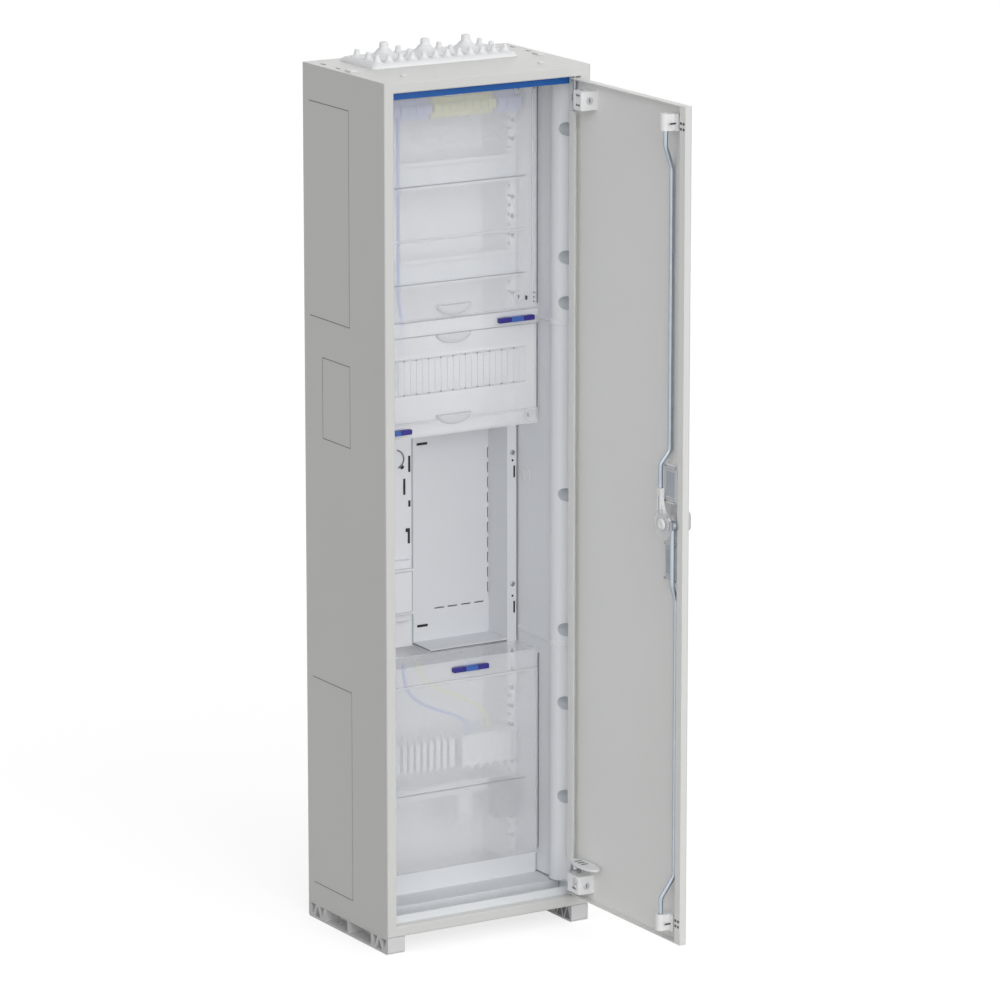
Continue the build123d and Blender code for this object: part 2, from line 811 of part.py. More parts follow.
# Liner in three modules: side walls with a rounded ridge, joined by a back wall
# A second skin behind the front step closes the finger notches from behind
for module, liner_name in enumerate(liner_names):
    liner_low = liner_levels[module]
    liner_high = liner_levels[module + 1]
    with BuildPart() as liner:
        with BuildSketch(level_at(liner_low)):
            with BuildLine():
                for skin, rear in ((0, liner_back), (liner_wall, liner_back + liner_wall)):
                    for side in (-1, 1):
                        Polyline((side * (liner_front_x + skin), behind(liner_front)),
                                 (side * (liner_front_x + skin), behind(liner_front_end)),
                                 (side * (liner_x + skin), behind(ridge_start)))
                        ThreePointArc((side * (liner_x + skin), behind(ridge_start)),
                                      (side * (ridge_x + skin), behind(ridge_top)),
                                      (side * (liner_x + skin), behind(ridge_end)))
                        Line((side * (liner_x + skin), behind(ridge_end)),
                             (side * (liner_x + skin), behind(rear)))
                    Line((-liner_x - skin, behind(rear)), (liner_x + skin, behind(rear)))
                for side in (-1, 1):
                    Line((side * liner_front_x, behind(liner_front)),
                         (side * (liner_front_x + liner_wall), behind(liner_front)))
            make_face()
            for side in (-1, 1):
                span(side * (liner_front_x + liner_wall), side * (pocket_x + pocket_skin),
                     behind(liner_front), behind(liner_front + pocket_skin))
                span(side * pocket_x, side * (pocket_x + pocket_skin),
                     behind(liner_front), behind(pocket_rear))
        extrude(amount=liner_high - liner_low)
        with BuildSketch(Plane.YZ.offset(-pocket_x)):
            with Locations([(behind(notch_depth), above(liner_low + share * (liner_high - liner_low)))
                            for share in notch_shares[module]]):
                Circle(notch_radius)
        extrude(amount=2 * pocket_x, mode=Mode.SUBTRACT)
        for wall_level in wall_hole_levels:
            if liner_low < wall_level < liner_high:
                with BuildSketch(face_at(liner_back)):
                    with Locations((-wall_hole_x, above(wall_level)), (wall_hole_x, above(wall_level))):
                        Circle(wall_access_radius)
                extrude(amount=-liner_wall, mode=Mode.SUBTRACT)
    liner.part.label = liner_name
    export_step(liner.part, f"parts/{liner_name}.step")

# Stepped floor liner with the lip behind the closed door
with BuildPart() as floor_liner:
    with BuildSketch(Plane.YZ.offset(-floor_half)):
        with BuildLine():
            Polyline((behind(strip_front), above(opening_low)), (behind(strip_front), above(floor_lip_high)),
                     (behind(liner_front), above(floor_lip_high)),
                     (behind(liner_front), above(channel_level)),
                     (behind(channel_rear), above(channel_level)), (behind(channel_rear), above(tread_level)),
                     (behind(tread_rear + liner_wall), above(tread_level)),
                     (behind(tread_rear + liner_wall), above(tread_level - liner_wall)),
                     (behind(channel_rear + liner_wall), above(tread_level - liner_wall)),
                     (behind(channel_rear + liner_wall), above(channel_level - liner_wall)),
                     (behind(liner_front - floor_lip_skin), above(channel_level - liner_wall)),
                     (behind(liner_front - floor_lip_skin), above(opening_low)), close=True)
        make_face()
    extrude(amount=2 * floor_half)
    with BuildSketch(face_at(tread_rear)):
        span(-upstand_half, upstand_half, above(tread_level - liner_wall), above(upstand_high))
    extrude(amount=-liner_wall)
floor_liner.part.label = "floor_liner"
export_step(floor_liner.part, "parts/floor_liner.step")

# Uprights: folded channels with fronts punched above and below the meter bay
for side, upright_name in ((-1, "upright_left"), (1, "upright_right")):
    inner = side * upright_inner
    outer = side * upright_outer
    web = side * (upright_inner + sheet)
    with BuildPart() as upright:
        with BuildSketch(level_at(upright_low)):
            with BuildLine():
                Polyline((inner, behind(upright_front)), (outer, behind(upright_front)),
                         (outer, behind(upright_front + sheet)), (web, behind(upright_front + sheet)),
                         (web, behind(liner_back - sheet)), (outer, behind(liner_back - sheet)),
                         (outer, behind(liner_back)), (inner, behind(liner_back)), close=True)
            make_face()
        extrude(amount=upright_high - upright_low)
        with BuildSketch(face_at(upright_front)):
            with Locations([((inner + outer + side * sheet) / 2, above(level)) for level in punch_levels]):
                Rectangle(punch_size, punch_size)
        extrude(amount=-sheet, mode=Mode.SUBTRACT)
    upright.part.label = upright_name
    export_step(upright.part, f"parts/{upright_name}.step")

# Top-hat rails across the uprights
for rail_level, rail_name in zip(rail_levels, rail_names):
    tip = rail_width / 2
    hat = rail_web / 2
    with BuildPart() as rail:
        with BuildSketch(Plane.YZ.offset(-rail_half)):
            with BuildLine():
                Polyline((behind(rail_front), above(rail_level + tip)),
                         (behind(rail_front), above(rail_level + hat - rail_sheet)),
                         (behind(upright_front - rail_sheet), above(rail_level + hat - rail_sheet)),
                         (behind(upright_front - rail_sheet), above(rail_level - hat + rail_sheet)),
                         (behind(rail_front), above(rail_level - hat + rail_sheet)),
                         (behind(rail_front), above(rail_level - tip)),
                         (behind(rail_front + rail_sheet), above(rail_level - tip)),
                         (behind(rail_front + rail_sheet), above(rail_level - hat)),
                         (behind(upright_front), above(rail_level - hat)),
                         (behind(upright_front), above(rail_level + hat)),
                         (behind(rail_front + rail_sheet), above(rail_level + hat)),
                         (behind(rail_front + rail_sheet), above(rail_level + tip)), close=True)
            make_face()
        extrude(amount=2 * rail_half)
    rail.part.label = rail_name
    export_step(rail.part, f"parts/{rail_name}.step")

# Flat bars: one carries the terminals, one the cable clamps
for bar_name, low, height in (("terminal_bar", terminal_bar_low, terminal_bar_height),
                              ("clamp_bar", clamp_bar_low, clamp_bar_height)):
    with BuildPart() as bar:
        with BuildSketch(face_at(bar_front)):
            span(-rail_half, rail_half, above(low), above(low + height))
        extrude(amount=-bar_thickness)
    bar.part.label = bar_name
    export_step(bar.part, f"parts/{bar_name}.step")

# Terminal blocks: stepped bodies with a groove between two ways
left = terminal_left_inset - rail_half
for terminal_name, way_count in zip(terminal_names, terminal_way_counts):
    right = left + way_count * terminal_way
    with BuildPart() as terminal:
        with BuildSketch(Plane.YZ.offset(left)):
            span(behind(terminal_front), behind(bar_front), above(terminal_low), above(terminal_high))
            span(behind(terminal_front), behind(terminal_front + terminal_step),
                 above(terminal_high - terminal_ledge), above(terminal_high), Mode.SUBTRACT)
            span(behind(terminal_front), behind(terminal_front + terminal_step),
                 above(terminal_low), above(terminal_low + terminal_ledge), Mode.SUBTRACT)
        extrude(amount=right - left)
        with BuildSketch(face_at(terminal_front)):
            with Locations(((left + right) / 2, above((terminal_low + terminal_high) / 2))):
                with GridLocations(terminal_way, terminal_high, way_count - 1, 1):
                    Rectangle(terminal_groove, terminal_high)
        extrude(amount=-terminal_groove_depth, mode=Mode.SUBTRACT)
    terminal.part.label = terminal_name
    export_step(terminal.part, f"parts/{terminal_name}.step")
    left = right + terminal_gap

# Upper cover: clear shell with half-moon grips
with BuildPart() as upper_cover:
    with BuildSketch(face_at(cover_front)):
        span(-cover_half, cover_half, above(upper_cover_low), above(upper_cover_high))
    extrude(amount=-cover_wall)
    with BuildSketch(face_at(cover_front)):
        span(-cover_half, cover_half, above(upper_cover_low), above(upper_cover_high))
        span(cover_side - cover_half, cover_half - cover_side,
             above(upper_cover_low + cover_side), above(upper_cover_high - cover_side), Mode.SUBTRACT)
    extrude(amount=cover_front - cover_rim_back)
    with BuildSketch(face_at(cover_front)):
        for side in (-1, 1):
            with Locations((side * (cover_half - cover_side / 2),
                            above((upper_cover_low + upper_cover_high) / 2))):
                Rectangle(cover_side, upper_cover_high - upper_cover_low)
    extrude(amount=cover_front - upright_front)
    for grip_level in (upper_cover_low + upper_grip_rise, upper_cover_high - upper_grip_drop):
        with BuildSketch(face_at(cover_front)):
            segment(0, above(grip_level), grip_half, grip_height)
        extrude(amount=grip_rise, taper=grip_slope_degrees)
upper_cover.part.label = "upper_cover"
export_step(upper_cover.part, "parts/upper_cover.step")


def latch_slot(latch_name, mode=Mode.ADD):
    """Slot of one latch, in the sketch that is open."""
    for name, middle, level in latch_places:
        if name == latch_name:
            span(middle - latch_neck_length / 2 - latch_play,
                 middle + latch_neck_length / 2 + latch_travel + latch_play,
                 above(level - latch_neck / 2 - latch_play), above(level + latch_neck / 2 + latch_play), mode)


# Device cover: window for the blanking strips, two proud ledges with latch slots
with BuildPart() as device_cover:
    with BuildSketch(face_at(cover_front)):
        span(-cover_half, cover_half, above(device_cover_low), above(device_cover_high))
    extrude(amount=-cover_wall)
    with BuildSketch(face_at(cover_front)):
        span(-cover_half, cover_half, above(device_cover_low), above(device_cover_high))
        span(cover_side - cover_half, cover_half - cover_side,
             above(device_cover_low + cover_side), above(device_cover_high - cover_side), Mode.SUBTRACT)
    extrude(amount=cover_front - cover_rim_back)
    with BuildSketch(face_at(cover_front)):
        for side in (-1, 1):
            with Locations((side * (cover_half - cover_side / 2),
                            above((device_cover_low + device_cover_high) / 2))):
                Rectangle(cover_side, device_cover_high - device_cover_low)
    extrude(amount=cover_front - upright_front)
    with BuildSketch(face_at(cover_front)):
        span(-cover_half, cover_half, above(device_ledge_top), above(device_cover_high))
        span(-cover_half, cover_half, above(device_cover_low), above(device_ledge_bottom))
    extrude(amount=ledge_rise)
    for grip_level in (device_ledge_bottom + device_grip_rise, device_ledge_top):
        with BuildSketch(face_at(cover_front)):
            segment(0, above(grip_level), grip_half, grip_height)
        extrude(amount=grip_rise, taper=grip_slope_degrees)
    with BuildSketch(face_at(cover_front - ledge_rise)):
        span(-window_half, window_half, above(blank_low - blank_play), above(blank_high + blank_play))
        latch_slot("latch_right")
        latch_slot("latch_left")
    extrude(amount=-(ledge_rise + cover_wall), mode=Mode.SUBTRACT)
device_cover.part.label = "device_cover"
export_step(device_cover.part, "parts/device_cover.step")

# Blanking strips: one breakable row with scored lines and a flange behind the window
with BuildPart() as blanking_strips:
    with BuildSketch(face_at(blank_front)):
        span(-blank_half, blank_half, above(blank_low), above(blank_high))
    extrude(amount=-(cover_front + cover_wall - blank_front))
    with BuildSketch(face_at(cover_front + cover_wall)):
        span(-blank_half - blank_flange, blank_half + blank_flange,
             above(blank_low - blank_flange), above(blank_high + blank_flange))
    extrude(amount=-blank_thickness)
    with BuildSketch(face_at(blank_front)):
        with Locations((0, above((blank_low + blank_high) / 2))):
            blank_count = round(2 * blank_half / blank_pitch) - 1
            with GridLocations(blank_pitch, blank_high, blank_count, 1):
                Rectangle(blank_line, blank_high - blank_low)
    extrude(amount=-blank_line_depth, mode=Mode.SUBTRACT)
blanking_strips.part.label = "blanking_strips"
export_step(blanking_strips.part, "parts/blanking_strips.step")

# Lower cover: clear shell with a proud main face, a band for the latch and a deep shelf on top
with BuildPart() as lower_cover:
    with BuildSketch(face_at(cover_front - lower_main_rise)):
        span(-lower_main_half, lower_main_half, above(lower_cover_low), above(lower_band_low))
    extrude(amount=-(lower_main_rise + cover_wall))
    with BuildSketch(face_at(cover_front)):
        span(-cover_half, cover_half, above(lower_band_low), above(lower_cover_high))
    extrude(amount=-cover_wall)
    with BuildSketch(face_at(cover_front)):
        span(cover_side - cover_half, cover_half - cover_side,
             above(lower_cover_low + cover_side), above(lower_band_low - cover_side))
    extrude(amount=-cover_wall, mode=Mode.SUBTRACT)
    with BuildSketch(face_at(cover_front)):
        span(-cover_half, cover_half, above(lower_cover_high - cover_wall), above(lower_cover_high))
    extrude(amount=cover_front - shelf_rear)
    with BuildSketch(face_at(cover_front)):
        for side in (-1, 1):
            with Locations((side * (cover_half - cover_side / 2),
                            above((lower_cover_low + lower_cover_high) / 2))):
                Rectangle(cover_side, lower_cover_high - lower_cover_low)
    extrude(amount=cover_front - upright_front)
    with BuildSketch(face_at(cover_front)):
        latch_slot("latch_lower")
    extrude(amount=-cover_wall, mode=Mode.SUBTRACT)
lower_cover.part.label = "lower_cover"
export_step(lower_cover.part, "parts/lower_cover.step")

# Sliding latches: bar and grip in front, neck in the slot, keeper behind
for latch_name, middle, level in latch_places:
    seat = cover_front if latch_name == "latch_lower" else cover_front - ledge_rise
    with BuildPart() as latch:
        with BuildSketch(face_at(seat - latch_play)):
            with Locations((middle, above(level))):
                RectangleRounded(latch_length, latch_height, latch_corner)
        extrude(amount=latch_rise)
        with BuildSketch(face_at(seat - latch_play - latch_rise)):
            with Locations((middle, above(level))):
                Rectangle(latch_grip_length, latch_height - 2 * latch_play)
        extrude(amount=latch_grip_rise)
        with BuildSketch(face_at(seat - latch_play)):
            with Locations((middle, above(level))):
                Rectangle(latch_neck_length, latch_neck)
        extrude(amount=seat - cover_front - cover_wall - 2 * latch_play)
        with BuildSketch(face_at(cover_front + cover_wall + latch_play)):
            with Locations((middle, above(level))):
                Rectangle(keeper_length, keeper_height)
        extrude(amount=-keeper_thickness)
    latch.part.label = latch_name
    export_step(latch.part, f"parts/{latch_name}.step")

# Meter plate: back with broken-line perforation below and on the right, slots, flanges above and below
with BuildPart() as meter_plate:
    with BuildSketch(face_at(plate_back)):
        span(plate_left, upright_inner, above(bay_low), above(bay_high))
    extrude(amount=-plate_skin)
    with BuildSketch(face_at(upright_front)):
        span(plate_left, upright_inner, above(bay_low), above(bay_low + plate_skin))
        span(plate_left, upright_inner, above(bay_high - plate_skin), above(bay_high))
    extrude(amount=upright_front - plate_back)
    with BuildSketch(face_at(plate_back)):
        across = int((dash_right - dash_left) / dash_pitch) + 1
        along = int((dash_high - dash_low) / dash_pitch) + 1
        with Locations(((dash_left + dash_right) / 2, above(dash_low))):
            with GridLocations(dash_pitch, dash_pitch, across, 1):
                Rectangle(dash_length, dash_width)
        with Locations((dash_right + dash_length / 2 - dash_width, above((dash_low + dash_high) / 2))):
            with GridLocations(dash_pitch, dash_pitch, 1, along - 1):
                Rectangle(dash_width, dash_length)
        with Locations((plate_left + plate_slot_inset, above(bay_low + plate_slot_low_inset)),
                       (plate_left + plate_slot_inset, above(bay_high - plate_slot_high_inset))):
            Rectangle(plate_slot_length, plate_slot_height)
    extrude(amount=-plate_skin, mode=Mode.SUBTRACT)
meter_plate.part.label = "meter_plate"
export_step(meter_plate.part, "parts/meter_plate.step")

# Side panel of the meter bay with upright slots and a stepped box
with BuildPart() as meter_side_panel:
    with BuildSketch(face_at(side_front)):
        span(-upright_inner, side_right, above(bay_low), above(bay_high))
    extrude(amount=-plate_skin)
    with BuildSketch(face_at(side_front)):
        span(side_right - plate_skin, side_right, above(bay_low), above(bay_high))
    extrude(amount=side_front - liner_back)
    with BuildSketch(face_at(side_front)):
        for length, inset, share in zip(side_slot_lengths, side_slot_insets, side_slot_level_shares):
            with Locations((side_right - inset, above(bay_low + share * bay_height))):
                Rectangle(side_slot_width, length)
    extrude(amount=-plate_skin, mode=Mode.SUBTRACT)
    with BuildSketch(Plane.YZ.offset(box_left)):
        span(behind(side_front - box_rise), behind(side_front), above(box_low), above(box_high))
        span(behind(side_front - box_rise), behind(side_front - box_rise / 2),
             above(box_high - box_step), above(box_high), Mode.SUBTRACT)
        span(behind(side_front - box_rise), behind(side_front - box_rise / 2),
             above(box_low), above(box_low + box_step), Mode.SUBTRACT)
    extrude(amount=box_right - box_left)
meter_side_panel.part.label = "meter_side_panel"
export_step(meter_side_panel.part, "parts/meter_side_panel.step")

# Cable comb on the lower rail
with BuildPart() as cable_comb:
    with BuildSketch(face_at(rail_front)):
        span(comb_left, comb_right, above(comb_low), above(comb_low + comb_height))
    extrude(amount=rail_front - comb_front)
    with BuildSketch(face_at(comb_front)):
        with Locations(((comb_left + comb_right) / 2, above(comb_low + comb_height / 2))):
            with GridLocations((comb_right - comb_left) / comb_tooth_count, comb_height,
                               comb_tooth_count - 1, 1):
                Rectangle(comb_gap, comb_height)
    extrude(amount=-comb_gap_depth, mode=Mode.SUBTRACT)
cable_comb.part.label = "cable_comb"
export_step(cable_comb.part, "parts/cable_comb.step")

# Terminal block on the lower rail, with arched entries below
with BuildPart() as main_terminal:
    with BuildSketch(face_at(rail_front)):
        span(block_left, block_right, above(block_low), above(block_high))
    extrude(amount=rail_front - block_front)
    with BuildSketch(face_at(block_front)):
        with Locations(((block_left + block_right) / 2, above(block_low))):
            with GridLocations((block_right - block_left) / block_arch_count, block_low, block_arch_count, 1):
                Circle(block_arch_radius)
    extrude(amount=-block_arch_depth, mode=Mode.SUBTRACT)
main_terminal.part.label = "main_terminal"
export_step(main_terminal.part, "parts/main_terminal.step")

# Oval earthing plate on the clamp bar
with BuildPart() as earth_plate:
    with BuildSketch(face_at(bar_front)):
        with Locations((oval_x, above(clamp_bar_low + clamp_bar_height / 2 - oval_drop))):
            SlotOverall(oval_length, oval_width, rotation=90)
            with GridLocations(oval_hole_pitch, oval_hole_pitch, 1, 2):
                Circle(oval_hole_radius, mode=Mode.SUBTRACT)
    extrude(amount=oval_thickness)
earth_plate.part.label = "earth_plate"
export_step(earth_plate.part, "parts/earth_plate.step")

# Dark earth block on the clamp bar
with BuildPart() as earth_block:
    with BuildSketch(Plane.YZ.offset(earth_left)):
        span(behind(earth_front), behind(bar_front), above(earth_low), above(earth_high))
        span(behind(earth_front), behind(earth_front + earth_step),
             above(earth_high - earth_step), above(earth_high), Mode.SUBTRACT)
    extrude(amount=earth_right - earth_left)
earth_block.part.label = "earth_block"
export_step(earth_block.part, "parts/earth_block.step")

# Feed terminal on the device rail
with BuildPart() as feed_terminal:
    with BuildSketch(Plane.YZ.offset(feed_x - feed_width / 2)):
        span(behind(feed_front), behind(rail_front), above(feed_low), above(feed_high))
        span(behind(feed_front), behind(feed_front + feed_step / 2),
             above(feed_high - feed_step), above(feed_high), Mode.SUBTRACT)
        span(behind(feed_front), behind(feed_front + feed_step / 2),
             above(feed_low), above(feed_low + feed_step), Mode.SUBTRACT)
    extrude(amount=feed_width)
feed_terminal.part.label = "feed_terminal"
export_step(feed_terminal.part, "parts/feed_terminal.step")

# Wires held inside the cabinet: feed wire in the upper field, two wires in the lower field
feed_wire_back = behind(bar_front - feed_wire_stand)
feed_entry_back = behind(rail_front - feed_wire_entry_stand)
feed_points = [(feed_x, feed_wire_back, above(terminal_low + terminal_ledge)),
               (feed_x, feed_wire_back, above(feed_high + feed_wire_jog_start)),
               (feed_x, feed_entry_back, above(feed_high + feed_wire_jog_end)),
               (feed_x, feed_entry_back, above(feed_high))]
wire_room = lower_cover_high - cover_wall - block_high
blue_points = [(across * rail_half, behind(rail_front - blue_run_stand), above(block_high + up * wire_room))
               for across, up in blue_run_shares]
earth_points = [(across * rail_half, behind(rail_front - earth_run_stand), above(block_high + up * wire_room))
                for across, up in earth_run_shares]
for wire_name, points in (("feed_wire", feed_points), ("blue_wire", blue_points),
                          ("earth_wire", earth_points)):
    with BuildPart() as wire:
        with BuildLine():
            FilletPolyline(*points, radius=wire_bend)
        with BuildSketch(Plane(origin=points[0], z_dir=(0, 0, -1))):
            RegularPolygon(wire_radius, wire_side_count)
        sweep()
    wire.part.label = wire_name
    export_step(wire.part, f"parts/{wire_name}.step")

# Door panel: rolled tray with lips on both upright edges, open 90 degrees at rest
with BuildPart() as door_panel:
    with BuildSketch(door_plan(door_high)):
        span(door_near, door_far, 0, door_thick)
        fillet(vertices().group_by(Axis.Y)[0], door_edge_radius)
    extrude(amount=door_high - door_low)
    with BuildSketch(door_plan(door_high - sheet)):
        span(door_near + sheet, door_far - sheet, skin_inner, lip_inner)
        fillet(vertices().group_by(Axis.Y)[0], door_inner_radius)
        span(door_near + door_lip, door_far - door_lip, skin_inner + door_inner_radius, door_thick)
    extrude(amount=door_high - door_low - 2 * sheet, mode=Mode.SUBTRACT)
    # Hinge corners and the cut-out for the lock
    with BuildSketch(door_face(skin_inner)):
        span(door_near, hinge_cut_reach, above(hinge_cut_high), above(door_high - sheet))
        span(door_near, hinge_cut_reach, above(door_low + sheet), above(hinge_cut_low))
    extrude(amount=door_thick, mode=Mode.SUBTRACT)
    with BuildSketch(door_face(0)):
        span(lock_out - cut_half_width, lock_out + cut_half_width,
             above(lock_level - cut_half_height), above(lock_level + cut_half_height))
    extrude(amount=sheet, mode=Mode.SUBTRACT)
    with BuildSketch(door_plan(door_high)):
        with Locations((0, axis_depth)):
            Circle(pin_clear_radius)
    extrude(amount=door_high - door_low, mode=Mode.SUBTRACT)
door_panel.part.label = "door_panel"
export_step(door_panel.part, "parts/door_panel.step")

# Hinges: arm with pivot, and the moulded block that ties it to the door
hinge_rows = zip(("lower", "upper"), hinge_low_levels, hinge_block_nears, hinge_block_lengths, link_outs)
for hinge_word, hinge_low, block_near, block_length, link_out in hinge_rows:
    arm_low = hinge_low + arm_offset
    arm_high = arm_low + arm_height
    block_far = block_near + block_length
    arm_end = block_far - arm_end_inset
    lug_near = block_near - lug_overhang
    lug_far = lug_near + lug_length
    with BuildPart() as hinge_arm:
        with BuildSketch(door_plan(arm_high)):
            with Locations((0, axis_depth)):
                Circle(knuckle_radius)
            span(0, arm_end, axis_depth - arm_half, axis_depth + arm_half)
            span(lug_near, lug_far, axis_depth, lug_rise)
            with Locations((link_out, link_rise)):
                Circle(pivot_radius + pivot_play, mode=Mode.SUBTRACT)
        extrude(amount=arm_height)
        pivot_start = arm_high if hinge_word == "upper" else arm_low
        seat = sheet + bearing_height
        pivot_end = opening_high + seat if hinge_word == "upper" else opening_low - seat
        with BuildSketch(door_plan(pivot_start)):
            with Locations((0, axis_depth)):
                Circle(pivot_radius)
        extrude(amount=pivot_start - pivot_end)
    hinge_arm.part.label = f"hinge_arm_{hinge_word}"
    export_step(hinge_arm.part, f"parts/hinge_arm_{hinge_word}.step")

    with BuildPart() as hinge_block:
        with BuildSketch(door_plan(hinge_low + hinge_block_height)):
            span(block_near, block_far, skin_inner, hinge_block_rise)
            fillet(vertices().group_by(Axis.Y)[-1], hinge_block_round)
        extrude(amount=hinge_block_height)
        with BuildSketch(door_plan(arm_high)):
            span(0, arm_end, axis_depth - arm_half, axis_depth + arm_half)
            span(lug_near, lug_far, axis_depth, lug_rise)
        extrude(amount=arm_height, mode=Mode.SUBTRACT)
        with BuildSketch(door_plan(hinge_low + hinge_block_height)):
            with Locations((link_out, link_rise)):
                Circle(pivot_radius + pivot_play)
        extrude(amount=hinge_block_height, mode=Mode.SUBTRACT)
        with BuildSketch(door_face(hinge_block_rise)):
            with Locations([(block_far - inset, above(hinge_low + hinge_block_height / 2))
                            for inset in block_slot_insets]):
                Rectangle(block_slot_width, block_slot_height)
        extrude(amount=-block_slot_depth, mode=Mode.SUBTRACT)
    hinge_block.part.label = f"hinge_block_{hinge_word}"
    export_step(hinge_block.part, f"parts/hinge_block_{hinge_word}.step")

# Fixed link pin of the upper hinge
with BuildPart() as hinge_pin_upper:
    with BuildSketch(door_plan(hinge_low_levels[1] + hinge_block_height)):
        with Locations((link_outs[1], link_rise)):
            Circle(pivot_radius)
    extrude(amount=hinge_block_height)
hinge_pin_upper.part.label = "hinge_pin_upper"
export_step(hinge_pin_upper.part, "parts/hinge_pin_upper.step")

# Release lever of the lower hinge: pin with an oval slotted grip
with BuildPart() as release_lever:
    with BuildSketch(door_plan(lever_level)):
        with Locations((link_outs[0], link_rise)):
            Circle(pivot_radius)
    extrude(amount=lever_lift - link_lift)
    with BuildSketch(door_plan(lever_level + lever_thickness)):
        with Locations((lever_middle, link_rise)):
            Ellipse(lever_length / 2, lever_width / 2)
        with Locations([(link_outs[0] + lever_slot_shift + lever_slot_pitch * step, link_rise)
                        for step in range(lever_slot_count)]):
            Rectangle(lever_slot_width, lever_slot_length, mode=Mode.SUBTRACT)
    extrude(amount=lever_thickness)
release_lever.part.label = "release_lever"
export_step(release_lever.part, "parts/release_lever.step")

# Lock escutcheon: oblong flange outside, two finger pockets, hub for the spindle
with BuildPart() as lock_escutcheon:
    with BuildSketch(door_face(-shell_rise)):
        with Locations((lock_out, above(lock_level))):
            RectangleRounded(2 * shell_half_width, 2 * shell_half_height, shell_half_width - lock_box_skin)
    extrude(amount=shell_rise)
    with BuildSketch(door_face(0)):
        with Locations((lock_out, above(lock_level))):
            Rectangle(2 * (cut_half_width - cut_play), 2 * (cut_half_height - cut_play))
    extrude(amount=sheet)
    box_middle = cut_half_height - cut_play - lock_box_height / 2
    with BuildSketch(door_face(sheet)):
        with Locations((lock_out, above(lock_level - box_middle)),
                       (lock_out, above(lock_level + box_middle))):
            Rectangle(2 * (cut_half_width - cut_play), lock_box_height)
    extrude(amount=lock_box_depth - sheet)
    with BuildSketch(door_face(sheet)):
        with Locations((lock_out, above(lock_level))):
            Circle(hub_radius)
    extrude(amount=hub_top - sheet)
    with BuildSketch(door_face(-shell_rise)):
        with Locations((lock_out, above(lock_level - box_middle)),
                       (lock_out, above(lock_level + box_middle))):
            Rectangle(2 * (cut_half_width - cut_play - lock_box_skin), lock_box_height - 2 * lock_box_skin)
    extrude(amount=shell_rise + lock_box_depth - lock_box_skin, mode=Mode.SUBTRACT)
    with BuildSketch(door_face(-shell_rise)):
        with Locations((lock_out, above(lock_level))):
            Circle(spindle_radius + spindle_play)
    extrude(amount=shell_rise + hub_top, mode=Mode.SUBTRACT)
lock_escutcheon.part.label = "lock_escutcheon"
export_step(lock_escutcheon.part, "parts/lock_escutcheon.step")

# Spindle: round in the escutcheon, square in the cam
with BuildPart() as lock_spindle:
    with BuildSketch(door_face(-shell_rise - handle_gap)):
        with Locations((lock_out, above(lock_level))):
            Circle(spindle_radius)
    extrude(amount=shell_rise + handle_gap + cam_hub_low)
    with BuildSketch(door_face(cam_hub_low)):
        with Locations((lock_out, above(lock_level))):
            Rectangle(square_size, square_size)
    extrude(amount=cam_high - cam_hub_low)
lock_spindle.part.label = "lock_spindle"
export_step(lock_spindle.part, "parts/lock_spindle.step")

# Turn knob outside the door, upright at rest
with BuildPart() as turn_handle:
    with BuildSketch(door_face(-shell_rise - handle_gap)):
        with Locations((lock_out, above(lock_level))):
            SlotOverall(handle_length, handle_width, rotation=right_angle_degrees)
    extrude(amount=-handle_rise, taper=handle_draft_degrees)
turn_handle.part.label = "turn_handle"
export_step(turn_handle.part, "parts/turn_handle.step")

# Cam inside the door: hub on the square, round disc and two crank pins
with BuildPart() as lock_cam:
    with BuildSketch(door_face(cam_hub_low)):
        with Locations((lock_out, above(lock_level))):
            Circle(cam_hub_radius)
    extrude(amount=cam_low - cam_hub_low)
    with BuildSketch(door_face(cam_low)):
        with Locations((lock_out, above(lock_level))):
            Circle(cam_radius)
    extrude(amount=cam_high - cam_low)
    with BuildSketch(door_face(cam_low)):
        with Locations((lock_out - crank_radius, above(lock_level)),
                       (lock_out + crank_radius, above(lock_level))):
            Circle(cam_pin_radius)
    extrude(amount=-cam_pin_reach)
    with BuildSketch(door_face(cam_hub_low)):
        with Locations((lock_out, above(lock_level))):
            Rectangle(square_size, square_size)
    extrude(amount=cam_high - cam_hub_low, mode=Mode.SUBTRACT)
lock_cam.part.label = "lock_cam"
export_step(lock_cam.part, "parts/lock_cam.step")

# Lock rods: round bars, cranked from the cam down to the door skin and out again to the guides
rod_outs = ((lock_out - crank_radius, lock_out - flat_shift),
            (lock_out + crank_radius, lock_out + flat_shift))
rod_rises = (raised, raised, flat_run, flat_run, tip_rise, tip_rise)
rod_levels = (upper_rod_levels, lower_rod_levels)
for rod_word, levels, (crank_out, run_out) in zip(("upper", "lower"), rod_levels, rod_outs):
    places = (crank_out, crank_out, run_out, run_out, tip_out, tip_out)
    route = [door_point(out, rise, level) for out, rise, level in zip(places, rod_rises, levels)]
    with BuildPart() as rod:
        with BuildLine():
            FilletPolyline(*route, radius=rod_bend)
        with BuildSketch(Plane(origin=route[0], z_dir=(0, 0, 1 if rod_word == "upper" else -1))):
            Circle(rod_radius)
        sweep()
        if rod_word == "lower":
            with BuildSketch(door_face(raised - eye_half)):
                with Locations((crank_out, above(lock_level))):
                    Circle(eye_radius)
            extrude(amount=2 * eye_half)
    rod.part.label = f"lock_rod_{rod_word}"
    export_step(rod.part, f"parts/lock_rod_{rod_word}.step")

